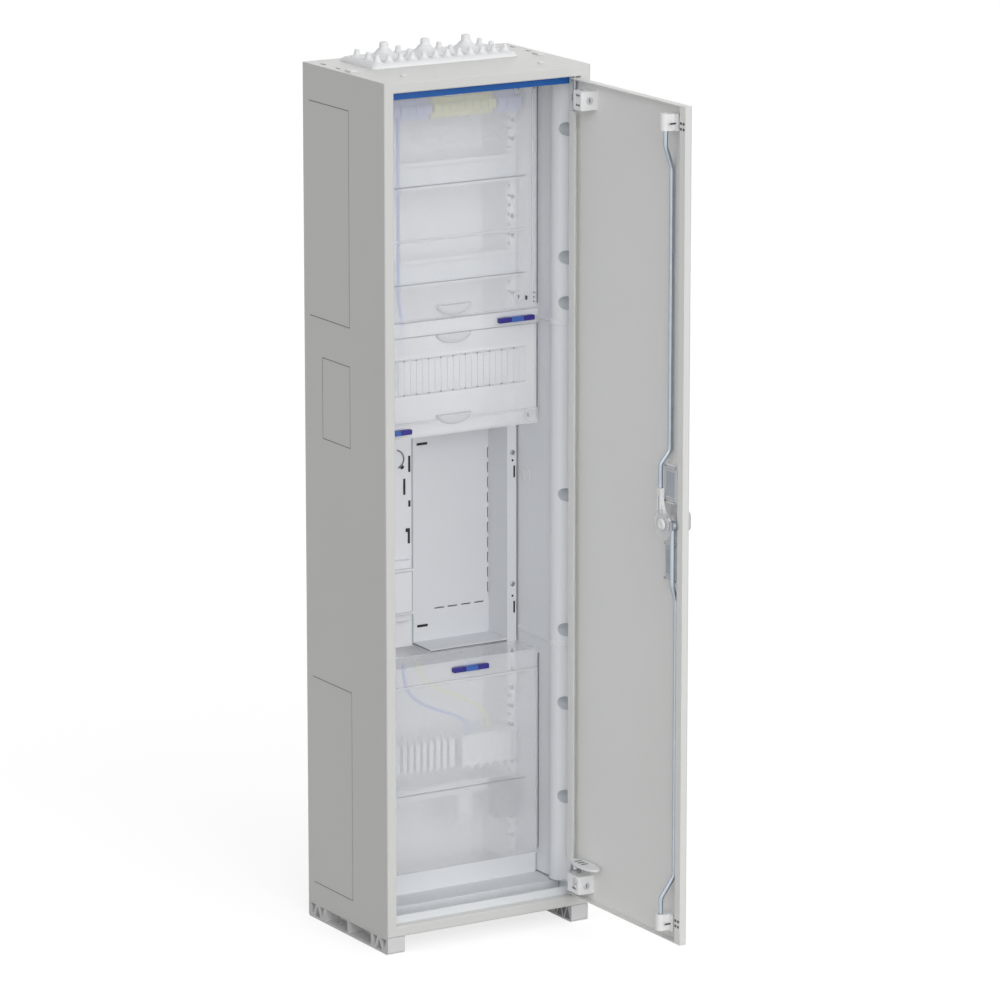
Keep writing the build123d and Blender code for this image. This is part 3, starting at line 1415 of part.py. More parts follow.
# Fork clip on the lower end of the upper rod
with BuildPart() as rod_clip:
    with BuildSketch(door_face(raised - rod_radius)):
        span(lock_out - crank_radius - clip_half, lock_out - crank_radius + clip_half,
             above(lock_level), above(upper_rod_levels[0]))
        with Locations((lock_out - crank_radius, above(lock_level))):
            Circle(clip_eye_radius)
        span(lock_out - crank_radius - clip_slot_half, lock_out - crank_radius + clip_slot_half,
             above(lock_level + clip_slot_start), above(lock_level + clip_slot_end), Mode.SUBTRACT)
    extrude(amount=2 * rod_radius)
rod_clip.part.label = "rod_clip"
export_step(rod_clip.part, "parts/rod_clip.step")

# Rod guides at the top and the bottom of the door
for guide_low, guide_word in zip(guide_levels, ("lower", "upper")):
    with BuildPart() as rod_guide:
        with BuildSketch(door_plan(guide_low + guide_height)):
            span(guide_near, guide_far, skin_inner, guide_rise)
            span(tip_out - saddle_radius, tip_out + saddle_radius, skin_inner, tip_rise)
            with Locations((tip_out, tip_rise)):
                Circle(saddle_radius)
                Circle(rod_radius + saddle_play, mode=Mode.SUBTRACT)
        extrude(amount=guide_height)
    rod_guide.part.label = f"rod_guide_{guide_word}"
    export_step(rod_guide.part, f"parts/rod_guide_{guide_word}.step")
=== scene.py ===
"""Looks of a tall sheet-metal electrical distribution cabinet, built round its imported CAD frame.

Lengths in this file are millimetres in the frame of the CAD model, until a mesh is made from them.
X runs to the right, the front looks along -Y, and Z is the height above the floor.
"""
import json
import math

import bmesh
import bpy
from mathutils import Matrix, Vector

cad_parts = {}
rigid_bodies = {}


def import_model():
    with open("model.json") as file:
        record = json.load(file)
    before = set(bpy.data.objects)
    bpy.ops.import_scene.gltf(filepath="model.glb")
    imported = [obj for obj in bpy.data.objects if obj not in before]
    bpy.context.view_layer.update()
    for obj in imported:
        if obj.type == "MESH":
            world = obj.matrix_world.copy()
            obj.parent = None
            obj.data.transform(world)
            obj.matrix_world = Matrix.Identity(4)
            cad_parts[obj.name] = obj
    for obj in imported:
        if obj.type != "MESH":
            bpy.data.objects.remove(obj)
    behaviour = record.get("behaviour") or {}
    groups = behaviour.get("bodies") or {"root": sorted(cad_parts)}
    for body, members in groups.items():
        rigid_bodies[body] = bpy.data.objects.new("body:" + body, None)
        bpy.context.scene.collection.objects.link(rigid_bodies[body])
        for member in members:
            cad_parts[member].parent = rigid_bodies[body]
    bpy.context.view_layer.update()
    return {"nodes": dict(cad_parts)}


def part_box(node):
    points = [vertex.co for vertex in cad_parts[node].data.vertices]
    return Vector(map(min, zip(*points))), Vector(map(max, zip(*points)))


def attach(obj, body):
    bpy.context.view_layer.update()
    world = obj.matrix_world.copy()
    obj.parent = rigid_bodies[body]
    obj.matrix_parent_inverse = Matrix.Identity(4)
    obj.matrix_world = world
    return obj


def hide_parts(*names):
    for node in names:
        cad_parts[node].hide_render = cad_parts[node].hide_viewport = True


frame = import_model()
nodes = frame["nodes"]
scene = bpy.context.scene
MM = 0.001


def corners(node):
    """Lowest and highest corner of a CAD node, in millimetres."""
    return [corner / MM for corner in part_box(node)]


# Nodes and colours

# Sockets of a Mix node that are known by number: its factor, its two colours and the mixed colour
MIX_FACTOR, MIX_FIRST, MIX_SECOND, MIX_RESULT = 0, 6, 7, 2
# Nearly all values of a noise texture lie between these
NOISE_LOW, NOISE_HIGH = 0.3, 0.7
CLOUD_DETAIL = 3.0
GRAIN_DETAIL = 2.0
BUMP_STRENGTH = 0.6
EDGE_SAMPLES = 4
WHITE = (1, 1, 1, 1)


def linear(colour):
    """An sRGB hex value as the linear colour of a shader socket."""
    shares = [int(colour[i:i + 2], 16) / 255 for i in (1, 3, 5)]
    return tuple(s / 12.92 if s <= 0.04045 else ((s + 0.055) / 1.055) ** 2.4 for s in shares) + (1.0,)


def add(tree, kind, settings=None, links=None):
    """Adds a node. A setting is one of the node's own properties, or else one of its sockets."""
    node = tree.nodes.new(kind)
    for name, value in (settings or {}).items():
        if isinstance(name, str) and hasattr(node, name):
            setattr(node, name, value)
        else:
            node.inputs[name].default_value = value
    for name, source in (links or {}).items():
        tree.links.new(source, node.inputs[name])
    return node


def per_mm(size):
    """Scale of a texture on Object coordinates whose cells are that many millimetres wide."""
    return 1.0 / (size * MM)


def surface(name, pale, deep, cloud, grain, rough, edge=0.5, stretch=(1, 1, 1), **sockets):
    """A finish with a slow change of tone, a fine grain in its bump and a roughness that follows the grain.

    pale and deep are the two tones, cloud the size of their patches, grain the grain's size and height,
    rough the lowest and highest roughness, and edge the radius that softens the edges.
    stretch draws the grain out along an axis. Any other value is set on the shader's own socket.
    """
    made = bpy.data.materials.new(name)
    made.use_nodes = True
    tree = made.node_tree
    tree.nodes.clear()
    place = add(tree, "ShaderNodeTexCoord").outputs["Object"]
    tone = add(tree, "ShaderNodeTexNoise", {"Scale": per_mm(cloud), "Detail": CLOUD_DETAIL},
               {"Vector": place})
    mixed = add(tree, "ShaderNodeMix",
                {"data_type": "RGBA", MIX_FIRST: linear(pale), MIX_SECOND: linear(deep)},
                {MIX_FACTOR: tone.outputs["Fac"]})
    drawn = add(tree, "ShaderNodeMapping", {"Scale": stretch}, {"Vector": place})
    grains = add(tree, "ShaderNodeTexNoise", {"Scale": per_mm(grain[0]), "Detail": GRAIN_DETAIL},
                 {"Vector": drawn.outputs["Vector"]})
    gloss = add(tree, "ShaderNodeMapRange",
                {"From Min": NOISE_LOW, "From Max": NOISE_HIGH, "To Min": rough[0], "To Max": rough[1]},
                {"Value": grains.outputs["Fac"]})
    round_edge = add(tree, "ShaderNodeBevel", {"samples": EDGE_SAMPLES, "Radius": edge * MM})
    bump = add(tree, "ShaderNodeBump", {"Strength": BUMP_STRENGTH, "Distance": grain[1] * MM},
               {"Height": grains.outputs["Fac"], "Normal": round_edge.outputs["Normal"]})
    shader = add(tree, "ShaderNodeBsdfPrincipled", sockets,
                 {"Base Color": mixed.outputs[MIX_RESULT], "Roughness": gloss.outputs["Result"],
                  "Normal": bump.outputs["Normal"]})
    add(tree, "ShaderNodeOutputMaterial", links={"Surface": shader.outputs["BSDF"]})
    return made


# Finishes

# Powder-coated sheet steel, sprayed and baked: an even warm off-white with the faint ripple of orange peel
powder_coat = surface(
    "powder_coated_steel", "#e8e8e6", "#e3e3e1", cloud=240, grain=(1.6, 0.03), rough=(0.38, 0.48),
    edge=0.8)
# Powder-coated meter plate and uprights: the same paint in a cooler, lighter tone
plate_coat = surface(
    "painted_mounting_sheet", "#e2e4e7", "#dcdee2", cloud=160, grain=(1.4, 0.03), rough=(0.42, 0.52))
# Injection-moulded ABS with an eroded skin: light grey, matt
grey_abs = surface(
    "moulded_grey_abs", "#ebeaeb", "#e4e3e4", cloud=60, grain=(0.9, 0.04), rough=(0.48, 0.6), edge=0.6)
# The same plastic through-dyed white, for the side panel of the meter bay
white_abs = surface(
    "moulded_white_abs", "#e9eaed", "#e2e4e7", cloud=60, grain=(0.9, 0.03), rough=(0.42, 0.54), edge=0.6)
# Soft thermoplastic elastomer of the cable membranes: near white, waxy, lets a little light in
soft_membrane = surface(
    "soft_membrane_elastomer", "#f9fafb", "#f3f4f6", cloud=30, grain=(1.0, 0.02), rough=(0.42, 0.55),
    edge=0.4, **{"Subsurface Weight": 0.12, "Subsurface Radius": (0.002, 0.002, 0.0018)})
# Vacuum-formed polystyrene liner: cool light grey with a satin skin
liner_polystyrene = surface(
    "formed_grey_polystyrene", "#e7e9ec", "#e1e3e7", cloud=120, grain=(1.1, 0.03), rough=(0.38, 0.5),
    edge=0.8)
# Floor liner and skirts: the same sheet, a little darker as painted shade
floor_shade_polystyrene = surface(
    "formed_polystyrene_with_floor_shade", "#e1e4e7", "#dbdee2", cloud=120, grain=(1.1, 0.03), rough=(0.42, 0.54),
    edge=0.8)
# The liner in its finger cups, darker as painted shade of the hollow
cup_shade_polystyrene = surface(
    "polystyrene_with_painted_cup_shade", "#bfc3c8", "#b5b9bf", cloud=20, grain=(1.1, 0.03), rough=(0.42, 0.54),
    edge=0.6)
# Moulded polyamide of the small fittings: white, satin
white_polyamide = surface(
    "moulded_white_polyamide", "#f0f0f0", "#e8e8e9", cloud=18, grain=(0.8, 0.02), rough=(0.34, 0.46))
# Glass-filled polyamide of the lock: pale grey, matt
lock_polyamide = surface(
    "moulded_pale_grey_polyamide", "#d6d7d9", "#cccdd0", cloud=24, grain=(0.8, 0.03), rough=(0.42, 0.55))
# Through-dyed ABS of the trim strip: strong mid blue, smooth
blue_abs = surface(
    "dyed_blue_abs", "#0a5cac", "#0855a2", cloud=60, grain=(0.9, 0.015), rough=(0.3, 0.4), edge=0.4)
# Milky polystyrene of the covers: clear enough for the shapes behind it to show faintly
milky_cover = surface(
    "milky_clear_polystyrene", "#f0f1f4", "#eaecef", cloud=140, grain=(1.3, 0.012), rough=(0.2, 0.3),
    edge=0.8, Alpha=0.32)
# The lower cover: the same plastic with a hazier skin
hazy_cover = surface(
    "hazy_clear_polystyrene", "#e0e2e5", "#dadce0", cloud=140, grain=(1.3, 0.012), rough=(0.24, 0.34),
    edge=0.8, Alpha=0.4)
# The device cover and its blanking strips: the same plastic, thicker and whiter
white_cover = surface(
    "milky_white_polystyrene", "#f0f1f3", "#eaebee", cloud=120, grain=(1.3, 0.012), rough=(0.24, 0.34),
    edge=0.6, Alpha=0.5)
# Folds and hoods of the covers, where the plastic is seen edge on and looks denser
dense_cover = surface(
    "dense_milky_polystyrene", "#f0f1f3", "#e9ebee", cloud=60, grain=(1.3, 0.012), rough=(0.2, 0.3),
    Alpha=0.5)
# Folds, scores and dashes of the covers: grey painted shade of their grooves, hiding more of what is behind
fold_shadow = surface(
    "milky_polystyrene_painted_groove_shade", "#b2b5ba", "#a8abb0", cloud=40, grain=(1.3, 0.012), rough=(0.3, 0.4),
    edge=0.3, Alpha=0.7)
# Clear polycarbonate of the lock's cam disc: only its rim catches the light
clear_disc = surface(
    "clear_polycarbonate", "#e9ebee", "#e0e3e7", cloud=12, grain=(0.8, 0.01), rough=(0.16, 0.26), edge=0.4,
    Alpha=0.22)
# Blue-grey painted shade, matt: the open trays of the lock boxes, the side box's line and the return edge
blue_grey_shade = surface(
    "painted_blue_grey_recess_shade", "#b3bac1", "#a6adb5", cloud=14, grain=(0.8, 0.03), rough=(0.4, 0.55),
    edge=0.4)
# Knock-out scores: mid grey, dull, as painted shade in their grooves
score_shade_grey = surface(
    "painted_shade_in_a_score", "#8b8b89", "#7f7f7d", cloud=30, grain=(1.2, 0.02), rough=(0.5, 0.6), edge=0.2)
# Marks, joints and the hook: mid grey plastic, matt; in slits, slots, gaps and pockets, painted shade
grey_mark_and_shade = surface(
    "grey_marks_and_painted_shade", "#83868b", "#777a80", cloud=6, grain=(0.6, 0.02), rough=(0.45, 0.6), edge=0.2)
# White-passivated strip steel of rails and bars: pale, chalky zinc with a faint metal sheen
zinc_strip = surface(
    "passivated_strip_steel", "#e3e6e9", "#d3d7db", cloud=9, grain=(0.7, 0.02), rough=(0.4, 0.56),
    edge=0.3, Metallic=0.35)
# Zinc-plated drawn steel of the lock rods: blue-grey metal with fine lines along the rod
plated_rod = surface(
    "zinc_plated_drawn_steel", "#c0c8d0", "#a7b1bb", cloud=14, grain=(0.5, 0.02), rough=(0.28, 0.42),
    edge=0.4, stretch=(1, 1, 0.08), Metallic=1.0)
# Die-cast zinc of the hinge arms: duller grey metal with a cast skin
cast_zinc = surface(
    "die_cast_zinc", "#b5b9be", "#9ea3a9", cloud=12, grain=(0.9, 0.05), rough=(0.4, 0.55), edge=0.6,
    Metallic=1.0)
# Yellow-green polyamide of the earth terminals and pale blue of the neutral ones: satin, evenly dyed
terminal_skin = {"cloud": 12, "grain": (0.7, 0.02), "rough": (0.36, 0.48)}
earth_terminal = surface("moulded_yellow_green_polyamide", "#ebe9b4", "#e2e2a6", **terminal_skin)
neutral_terminal = surface("moulded_pale_blue_polyamide", "#c6ccf0", "#bcc3ea", **terminal_skin)
# Polycarbonate of the comb and terminal blocks, light grey, and of the earth block, mid grey: satin
block_skin = {"cloud": 14, "grain": (0.7, 0.03), "rough": (0.38, 0.5)}
grey_block = surface("moulded_grey_polycarbonate", "#d6d9dc", "#cdd0d4", **block_skin)
earth_grey = surface("moulded_mid_grey_polycarbonate", "#7e8187", "#73767c", **block_skin)
# Near black, satin: dark polycarbonate of catches and pips, and painted shade in small holes and grooves
dark_parts_and_hole_shade = surface(
    "dark_polycarbonate_and_painted_hole_shade", "#4a4d52", "#3f4247", cloud=14, grain=(0.7, 0.03), rough=(0.4, 0.52))
# PVC insulation of the wires, blue and pale yellow-green: smooth and slightly waxy
wire_skin = {"cloud": 10, "grain": (0.6, 0.01), "rough": (0.34, 0.44), "edge": 0.2}
blue_pvc = surface("blue_pvc_insulation", "#8c9edb", "#8092d0", **wire_skin)
earth_pvc = surface("yellow_green_pvc_insulation", "#e2de8a", "#d3d57c", **wire_skin)
# Slots, dots and the hook's eye: near black painted shade of their hollows, matt
hole_shade_black = surface(
    "painted_black_hole_shade", "#26272a", "#1d1e20", cloud=8, grain=(0.6, 0.02), rough=(0.6, 0.75), edge=0.2)
# Turned screw heads: bright nickel-plated steel
nickel_screw = surface(
    "nickel_plated_screw_steel", "#b9bcc0", "#a2a6ab", cloud=4, grain=(0.3, 0.01), rough=(0.22, 0.34),
    edge=0.2, Metallic=1.0)

# The lighter grip of a latch ends between these distances from the latch's middle
GRIP_START, GRIP_END = 8.7, 9.3


def latch_finish(node):
    """Two-shot moulded latch: violet-blue ends round a lighter blue grip, centred on that latch."""
    low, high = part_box(node)
    made = surface("two_shot_blue_" + node, "#352d8c", "#2c2680",
                   cloud=8, grain=(0.6, 0.01), rough=(0.28, 0.4), edge=0.4)
    tree = made.node_tree
    shader = next(n for n in tree.nodes if n.type == "BSDF_PRINCIPLED")
    ends = shader.inputs["Base Color"].links[0].from_socket
    place = add(tree, "ShaderNodeTexCoord").outputs["Object"]
    moved = add(tree, "ShaderNodeMapping", {"Location": -(low + high) / 2}, {"Vector": place})
    across = add(tree, "ShaderNodeSeparateXYZ", links={0: moved.outputs["Vector"]})
    far = add(tree, "ShaderNodeMath", {"operation": "ABSOLUTE"}, {0: across.outputs["X"]})
    middle = add(tree, "ShaderNodeMapRange",
                 {"From Min": GRIP_START * MM, "From Max": GRIP_END * MM, "To Min": 1.0, "To Max": 0.0},
                 {"Value": far.outputs[0]})
    both = add(tree, "ShaderNodeMix", {"data_type": "RGBA", MIX_SECOND: linear("#3f66b6")},
               {MIX_FACTOR: middle.outputs["Result"], MIX_FIRST: ends})
    tree.links.new(both.outputs[MIX_RESULT], shader.inputs["Base Color"])
    return made


node_finishes = {
    powder_coat: ("body_wrap", "back_panel", "door_panel"),
    plate_coat: ("meter_plate", "upright_left", "upright_right"),
    grey_abs: ("foot_left", "foot_right"),
    white_abs: ("meter_side_panel",),
    soft_membrane: ("cable_entry",),
    liner_polystyrene: ("liner_lower", "liner_middle", "liner_upper"),
    floor_shade_polystyrene: ("floor_liner",),
    white_polyamide: ("top_plugs", "hinge_block_lower", "hinge_block_upper", "rod_guide_lower",
                      "rod_guide_upper", "rod_clip", "release_lever", "hinge_bearings"),
    clear_disc: ("lock_cam",),
    lock_polyamide: ("lock_escutcheon", "turn_handle"),
    blue_abs: ("trim_strip",),
    milky_cover: ("upper_cover",),
    hazy_cover: ("lower_cover",),
    white_cover: ("device_cover", "blanking_strips"),
    zinc_strip: ("rail_top", "rail_second", "rail_device", "rail_lower", "terminal_bar", "clamp_bar",
                 "earth_plate"),
    plated_rod: ("lock_rod_upper", "lock_rod_lower", "lock_spindle", "hinge_pin_upper"),
    cast_zinc: ("hinge_arm_lower", "hinge_arm_upper"),
    earth_terminal: ("pe_terminal",),
    neutral_terminal: ("n_terminal_left", "n_terminal_right"),
    grey_block: ("cable_comb", "main_terminal", "feed_terminal"),
    earth_grey: ("earth_block",),
    blue_pvc: ("feed_wire", "blue_wire"),
    earth_pvc: ("earth_wire",),
}
for latch in ("latch_right", "latch_left", "latch_lower"):
    node_finishes[latch_finish(latch)] = (latch,)
for finish, members in node_finishes.items():
    for member in members:
        nodes[member].data.materials.clear()
        nodes[member].data.materials.append(finish)
# Daylight passes the milky covers and lights what is behind them
for cover in ("upper_cover", "lower_cover", "device_cover", "blanking_strips"):
    nodes[cover].visible_shadow = False
    nodes[cover].visible_diffuse = False


# Meshes

# Points of a mesh that lie closer than this are one
WELD = 0.002
# A cross recess: its narrowest radius as a share of the widest, and how sharply its arms stand out
CROSS_WAIST_SHARE = 0.42
CROSS_SHARPNESS = 6


def mesh_of(points, faces):
    """A closed mesh from points in millimetres, with its faces pointing outwards."""
    data = bpy.data.meshes.new("shape")
    data.from_pydata([Vector(p) * MM for p in points], [], faces)
    work = bmesh.new()
    work.from_mesh(data)
    bmesh.ops.remove_doubles(work, verts=work.verts, dist=WELD * MM)
    bmesh.ops.recalc_face_normals(work, faces=work.faces)
    work.to_mesh(data)
    work.free()
    return data


def skin(loops, hollow=False):
    """A closed skin over loops with the same number of points, capped at both ends.

    A hollow skin has no caps: its last loop joins its first, as on a frame.
    """
    count = len(loops[0])
    points = [p for loop in loops for p in loop]
    faces = [] if hollow else [tuple(reversed(range(count))), tuple(range(len(points) - count, len(points)))]
    for row in range(len(loops) if hollow else len(loops) - 1):
        for i in range(count):
            j = (i + 1) % count
            near, far = row * count, (row + 1) % len(loops) * count
            faces.append((near + i, near + j, far + j, far + i))
    return mesh_of(points, faces)


def rounded_loop(width, length, corner, height, middle=(0, 0), steps=5):
    """A rectangle with round corners, at that height."""
    loop = []
    for turn, (sx, sy) in enumerate(((1, 1), (-1, 1), (-1, -1), (1, -1))):
        for step in range(steps + 1):
            angle = math.radians(90 * turn + 90 * step / steps)
            loop.append((middle[0] + sx * (width / 2 - corner) + corner * math.cos(angle),
                         middle[1] + sy * (length / 2 - corner) + corner * math.sin(angle), height))
    return loop


def block(width, length, corner, low, high, ease=0.1):
    """A block with round corners from low to high, with an eased top edge."""
    return skin([
        rounded_loop(width, length, corner, low),
        rounded_loop(width, length, corner, high - ease),
        rounded_loop(width - 2 * ease, length - 2 * ease, max(corner - ease, ease / 2), high)])


def frame_of(width, length, corner, wall, low, high):
    """A rectangular frame with round corners and that wall."""
    inner = (width - 2 * wall, length - 2 * wall, max(corner - wall, wall / 2))
    return skin([rounded_loop(width, length, corner, low), rounded_loop(width, length, corner, high),
                 rounded_loop(*inner, high), rounded_loop(*inner, low)], hollow=True)


def turned(profile, sides, recess=()):
    """A turned shape from (radius, height) pairs. Pairs numbered in recess become a cross."""
    loops = []
    for number, (radius, height) in enumerate(profile):
        loop = []
        for i in range(sides):
            angle = 2 * math.pi * i / sides
            arm = abs(math.cos(2 * angle)) ** CROSS_SHARPNESS
            share = CROSS_WAIST_SHARE + (1 - CROSS_WAIST_SHARE) * arm if number in recess else 1.0
            loop.append((radius * share * math.cos(angle), radius * share * math.sin(angle), height))
        loops.append(loop)
    return skin(loops)


def even_row(count, pitch, middle=0.0):
    """Places in an even row about a middle."""
    return [middle + pitch * (i - (count - 1) / 2) for i in range(count)]


def tree_of_copies():
    """A Geometry Nodes tree that puts a shape on each mark, turned as the mark says, and makes it real."""
    tree = bpy.data.node_groups.new("shape_on_each_mark", "GeometryNodeTree")
    for label, kind in (("Marks", "NodeSocketGeometry"), ("Shape", "NodeSocketObject"),
                        ("Finish", "NodeSocketMaterial")):
        tree.interface.new_socket(label, in_out="INPUT", socket_type=kind)
    tree.interface.new_socket("Copies", in_out="OUTPUT", socket_type="NodeSocketGeometry")
    given = add(tree, "NodeGroupInput").outputs
    turn = add(tree, "GeometryNodeInputNamedAttribute", {"data_type": "FLOAT_VECTOR", "Name": "turn"})
    turned_to = add(tree, "FunctionNodeEulerToRotation", links={"Euler": turn.outputs["Attribute"]})
    shape = add(tree, "GeometryNodeObjectInfo", links={"Object": given["Shape"]})
    put = add(tree, "GeometryNodeInstanceOnPoints", links={
        "Points": given["Marks"], "Instance": shape.outputs["Geometry"], "Rotation": turned_to.outputs[0]})
    whole = add(tree, "GeometryNodeRealizeInstances", links={0: put.outputs["Instances"]})
    done = add(tree, "GeometryNodeSetMaterial",
               links={"Geometry": whole.outputs[0], "Material": given["Finish"]})
    add(tree, "NodeGroupOutput", links={0: done.outputs[0]})
    return tree


copies_tree = tree_of_copies()


def piece(name, body, data, finish):
    """A finished piece of the cabinet, riding on its body."""
    made = bpy.data.objects.new(name, data)
    data.name = name
    data.materials.clear()
    data.materials.append(finish)
    scene.collection.objects.link(made)
    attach(made, body)
    return made


def on_marks(name, body, shape, places, finish, facing=(0, 0, 0)):
    """A shape on each place, turned by facing in degrees, left as one plain mesh that rides on a body."""
    marks = bpy.data.meshes.new(name + "_marks")
    marks.from_pydata([Vector(p) * MM for p in places], [], [])
    turns = marks.attributes.new("turn", "FLOAT_VECTOR", "POINT")
    for mark in turns.data:
        mark.vector = [math.radians(a) for a in facing]
    shape_object = bpy.data.objects.new(name + "_shape", shape)
    host = bpy.data.objects.new(name + "_host", marks)
    for thing in (shape_object, host):
        scene.collection.objects.link(thing)
    growth = host.modifiers.new("copies", "NODES")
    growth.node_group = copies_tree
    values = {"Shape": shape_object, "Finish": finish}
    for item in copies_tree.interface.items_tree:
        if item.name in values:
            growth[item.identifier] = values[item.name]
    ready = host.evaluated_get(bpy.context.evaluated_depsgraph_get())
    data = bpy.data.meshes.new_from_object(ready)
    for thing in (host, shape_object):
        bpy.data.objects.remove(thing)
    return piece(name, body, data, finish)


FACE_FRONT = (90, 0, 0)
FACE_LEFT = (0, -90, 0)
FACE_RIGHT = (0, 90, 0)
FACE_BACK = (-90, 0, 0)


def on_front(name, shape, places, finish):
    """A shape on places of the fixed cabinet, facing the front."""
    return on_marks(name, "cabinet", shape, places, finish, FACE_FRONT)


def on_door(name, shape, places, finish, facing=FACE_LEFT):
    """A shape on places of the open door, facing the left unless told otherwise."""
    return on_marks(name, "door", shape, places, finish, facing)


def smooth(made, crisp=35):
    """Smooth shading, with edges sharper than crisp degrees kept."""
    made.data.shade_smooth()
    made.data.set_sharp_from_angle(angle=math.radians(crisp))
    return made


# Cable-entry plate: rounded rim, shallow field and soft membrane nozzles
body_high = corners("body_wrap")[1]
TOP = body_high.z
PLATE_HEIGHT = 6.0
ENTRY_TOP = TOP + PLATE_HEIGHT
entry_low, entry_high = corners("cable_entry")
ENTRY_WIDTH = entry_high.x - entry_low.x
ENTRY_LENGTH = entry_high.y - entry_low.y
ENTRY_MIDDLE = ((entry_low.x + entry_high.x) / 2, (entry_low.y + entry_high.y) / 2)
# The plate's skin from its collar to its field: inset from the rim, corner radius and height on the top
entry_steps = ((8.4, 4, -5), (8.4, 4, 0), (0, 6, 0), (0, 6, 0.9), (1.5, 5.5, 3.2), (4, 5, 5.3),
               (5.5, 4.5, PLATE_HEIGHT), (7, 4, PLATE_HEIGHT), (7.5, 4, PLATE_HEIGHT - 0.7))
entry_loops = [
    rounded_loop(ENTRY_WIDTH - 2 * inset, ENTRY_LENGTH - 2 * inset, corner, TOP + rise, ENTRY_MIDDLE)
    for inset, corner, rise in entry_steps]
entry_plate = piece("entry_plate", "cabinet", skin(entry_loops), soft_membrane)
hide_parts("cable_entry")
smooth(entry_plate)
small_nozzle = turned((
    (7.4, -1), (7.4, 0.2), (6.0, 0.9), (4.6, 2.4), (3.7, 4.4), (3.3, 6.2), (3.5, 6.6), (3.5, 7.4),
    (3.2, 7.7), (3.0, 8.6), (2.5, 9.2), (1.2, 9.4)), sides=18)
large_nozzle = turned((
    (22, -1), (22, 0.2), (20.4, 1.0), (16.2, 2.6), (12.6, 4.8), (9.8, 7.4), (8.6, 9.2), (8.2, 9.9),
    (6.6, 10.3), (6.2, 11), (5.6, 14.6), (5.8, 15.2), (5.8, 16.2), (5.2, 17.6), (3.8, 18.6), (1.8, 19)),
    sides=32)
ROW_COUNT = 12
ROW_PITCH = 17.0
ROW_Y = 12.5
LARGE_COUNT = 3
LARGE_PITCH = 60.0
LARGE_Y = 53.5
PAIR_YS = (40.5, 69.5)
row_places = [(x, ROW_Y, ENTRY_TOP) for x in even_row(ROW_COUNT, ROW_PITCH)]
pair_places = [(x, y, ENTRY_TOP) for x in even_row(LARGE_COUNT + 1, LARGE_PITCH) for y in PAIR_YS]
smooth(on_marks("small_nozzles", "cabinet", small_nozzle, row_places + pair_places,
                soft_membrane), crisp=50)
large_places = [(x, LARGE_Y, ENTRY_TOP) for x in even_row(LARGE_COUNT, LARGE_PITCH)]
smooth(on_marks("large_nozzles", "cabinet", large_nozzle, large_places, soft_membrane), crisp=50)

# Blanking strips: break-off ticks at every second line and fine dashes, along the top and bottom edge
blank_low, blank_high = corners("blanking_strips")
MODULE = 18.0
MODULES = 12
TICK_INSET = 5.5
tick = block(2.4, 1.9, corner=0.5, low=-0.3, high=0.35, ease=0.15)
dash = block(5.2, 0.6, corner=0.2, low=-0.3, high=0.12, ease=0.05)
for edge, level in (("top", blank_high.z - TICK_INSET), ("bottom", blank_low.z + TICK_INSET)):
    on_front("blank_ticks_" + edge, tick,
             [(x, blank_low.y, level) for x in even_row(MODULES - 1, MODULE)], grey_mark_and_shade)
    on_front("blank_dashes_" + edge, dash,
             [(x, blank_low.y, level) for x in even_row(2 * MODULES, MODULE / 2)], fold_shadow)

# Covers: half-moon finger hoods, scored folds and quarter-turn closers
COVER_FRONT = -14.5
LEDGE_FRONT = -15.4
DEVICE_FOOT_FRONT = -16.5
LOWER_FRONT = corners("lower_cover")[0].y
HOOD_HALF = 25.5
HOOD_DROP = 13.5
HOOD_STEPS = 20
HOOD_LEVELS = (816.0, 1094.0, 779.0, 674.0)
# Share of the hood's outline that is left at each height over the cover
hood_shares = ((1.0, -0.4), (1.0, 0.8), (0.985, 2.8), (0.94, 4.6), (0.86, 5.9), (0.72, 6.8), (0.5, 7.2))
hood_angles = [math.pi * (1 + i / HOOD_STEPS) for i in range(HOOD_STEPS + 1)]
hood = skin([
    [(share * HOOD_HALF * math.cos(a), share * HOOD_DROP * math.sin(a), height) for a in hood_angles]
    for share, height in hood_shares])
hood_places = [(0, COVER_FRONT, z) for z in HOOD_LEVELS]
smooth(on_front("finger_hoods", hood, hood_places, dense_cover), crisp=75)
FOLD_X = -8.0
FOLD_WIDTH = 230.0
UPPER_FOLD_LEVELS = (971.0, 846.0)
UPPER_RIB_LEVEL = 902.0
LOWER_FOLD_LEVEL = 178.0
# The fold lines are grey painted shade
fold = block(FOLD_WIDTH, 1.0, corner=0.4, low=-0.2, high=0.3)
on_front("upper_cover_folds", fold, [(FOLD_X, COVER_FRONT, z) for z in UPPER_FOLD_LEVELS],
         fold_shadow)
on_front("lower_cover_folds", fold, [(FOLD_X, LOWER_FRONT, LOWER_FOLD_LEVEL)], fold_shadow)
LEDGE_WIDTH = 249.0
DEVICE_LEDGE_LEVEL = 778.6
DEVICE_FOOT_LEVEL = 667.0
LOWER_LEDGE_LEVEL = 321.5
# The ledge's step line is grey painted shade
ledge_line = block(LEDGE_WIDTH, 0.9, corner=0.4, low=-0.2, high=0.25)
on_front("device_cover_line", ledge_line, [(0, LEDGE_FRONT, DEVICE_LEDGE_LEVEL)], fold_shadow)
ledge_edge = block(LEDGE_WIDTH, 2.6, corner=1.1, low=-0.3, high=0.5, ease=0.35)
on_front("cover_ledge_edges", ledge_edge,
         [(0, DEVICE_FOOT_FRONT, DEVICE_FOOT_LEVEL), (0, LOWER_FRONT, LOWER_LEDGE_LEVEL)], dense_cover)
bright_fold = block(FOLD_WIDTH, 3.2, corner=1.2, low=-0.2, high=0.7, ease=0.4)
on_front("upper_cover_rib", bright_fold, [(FOLD_X, COVER_FRONT, UPPER_RIB_LEVEL)],
         dense_cover)
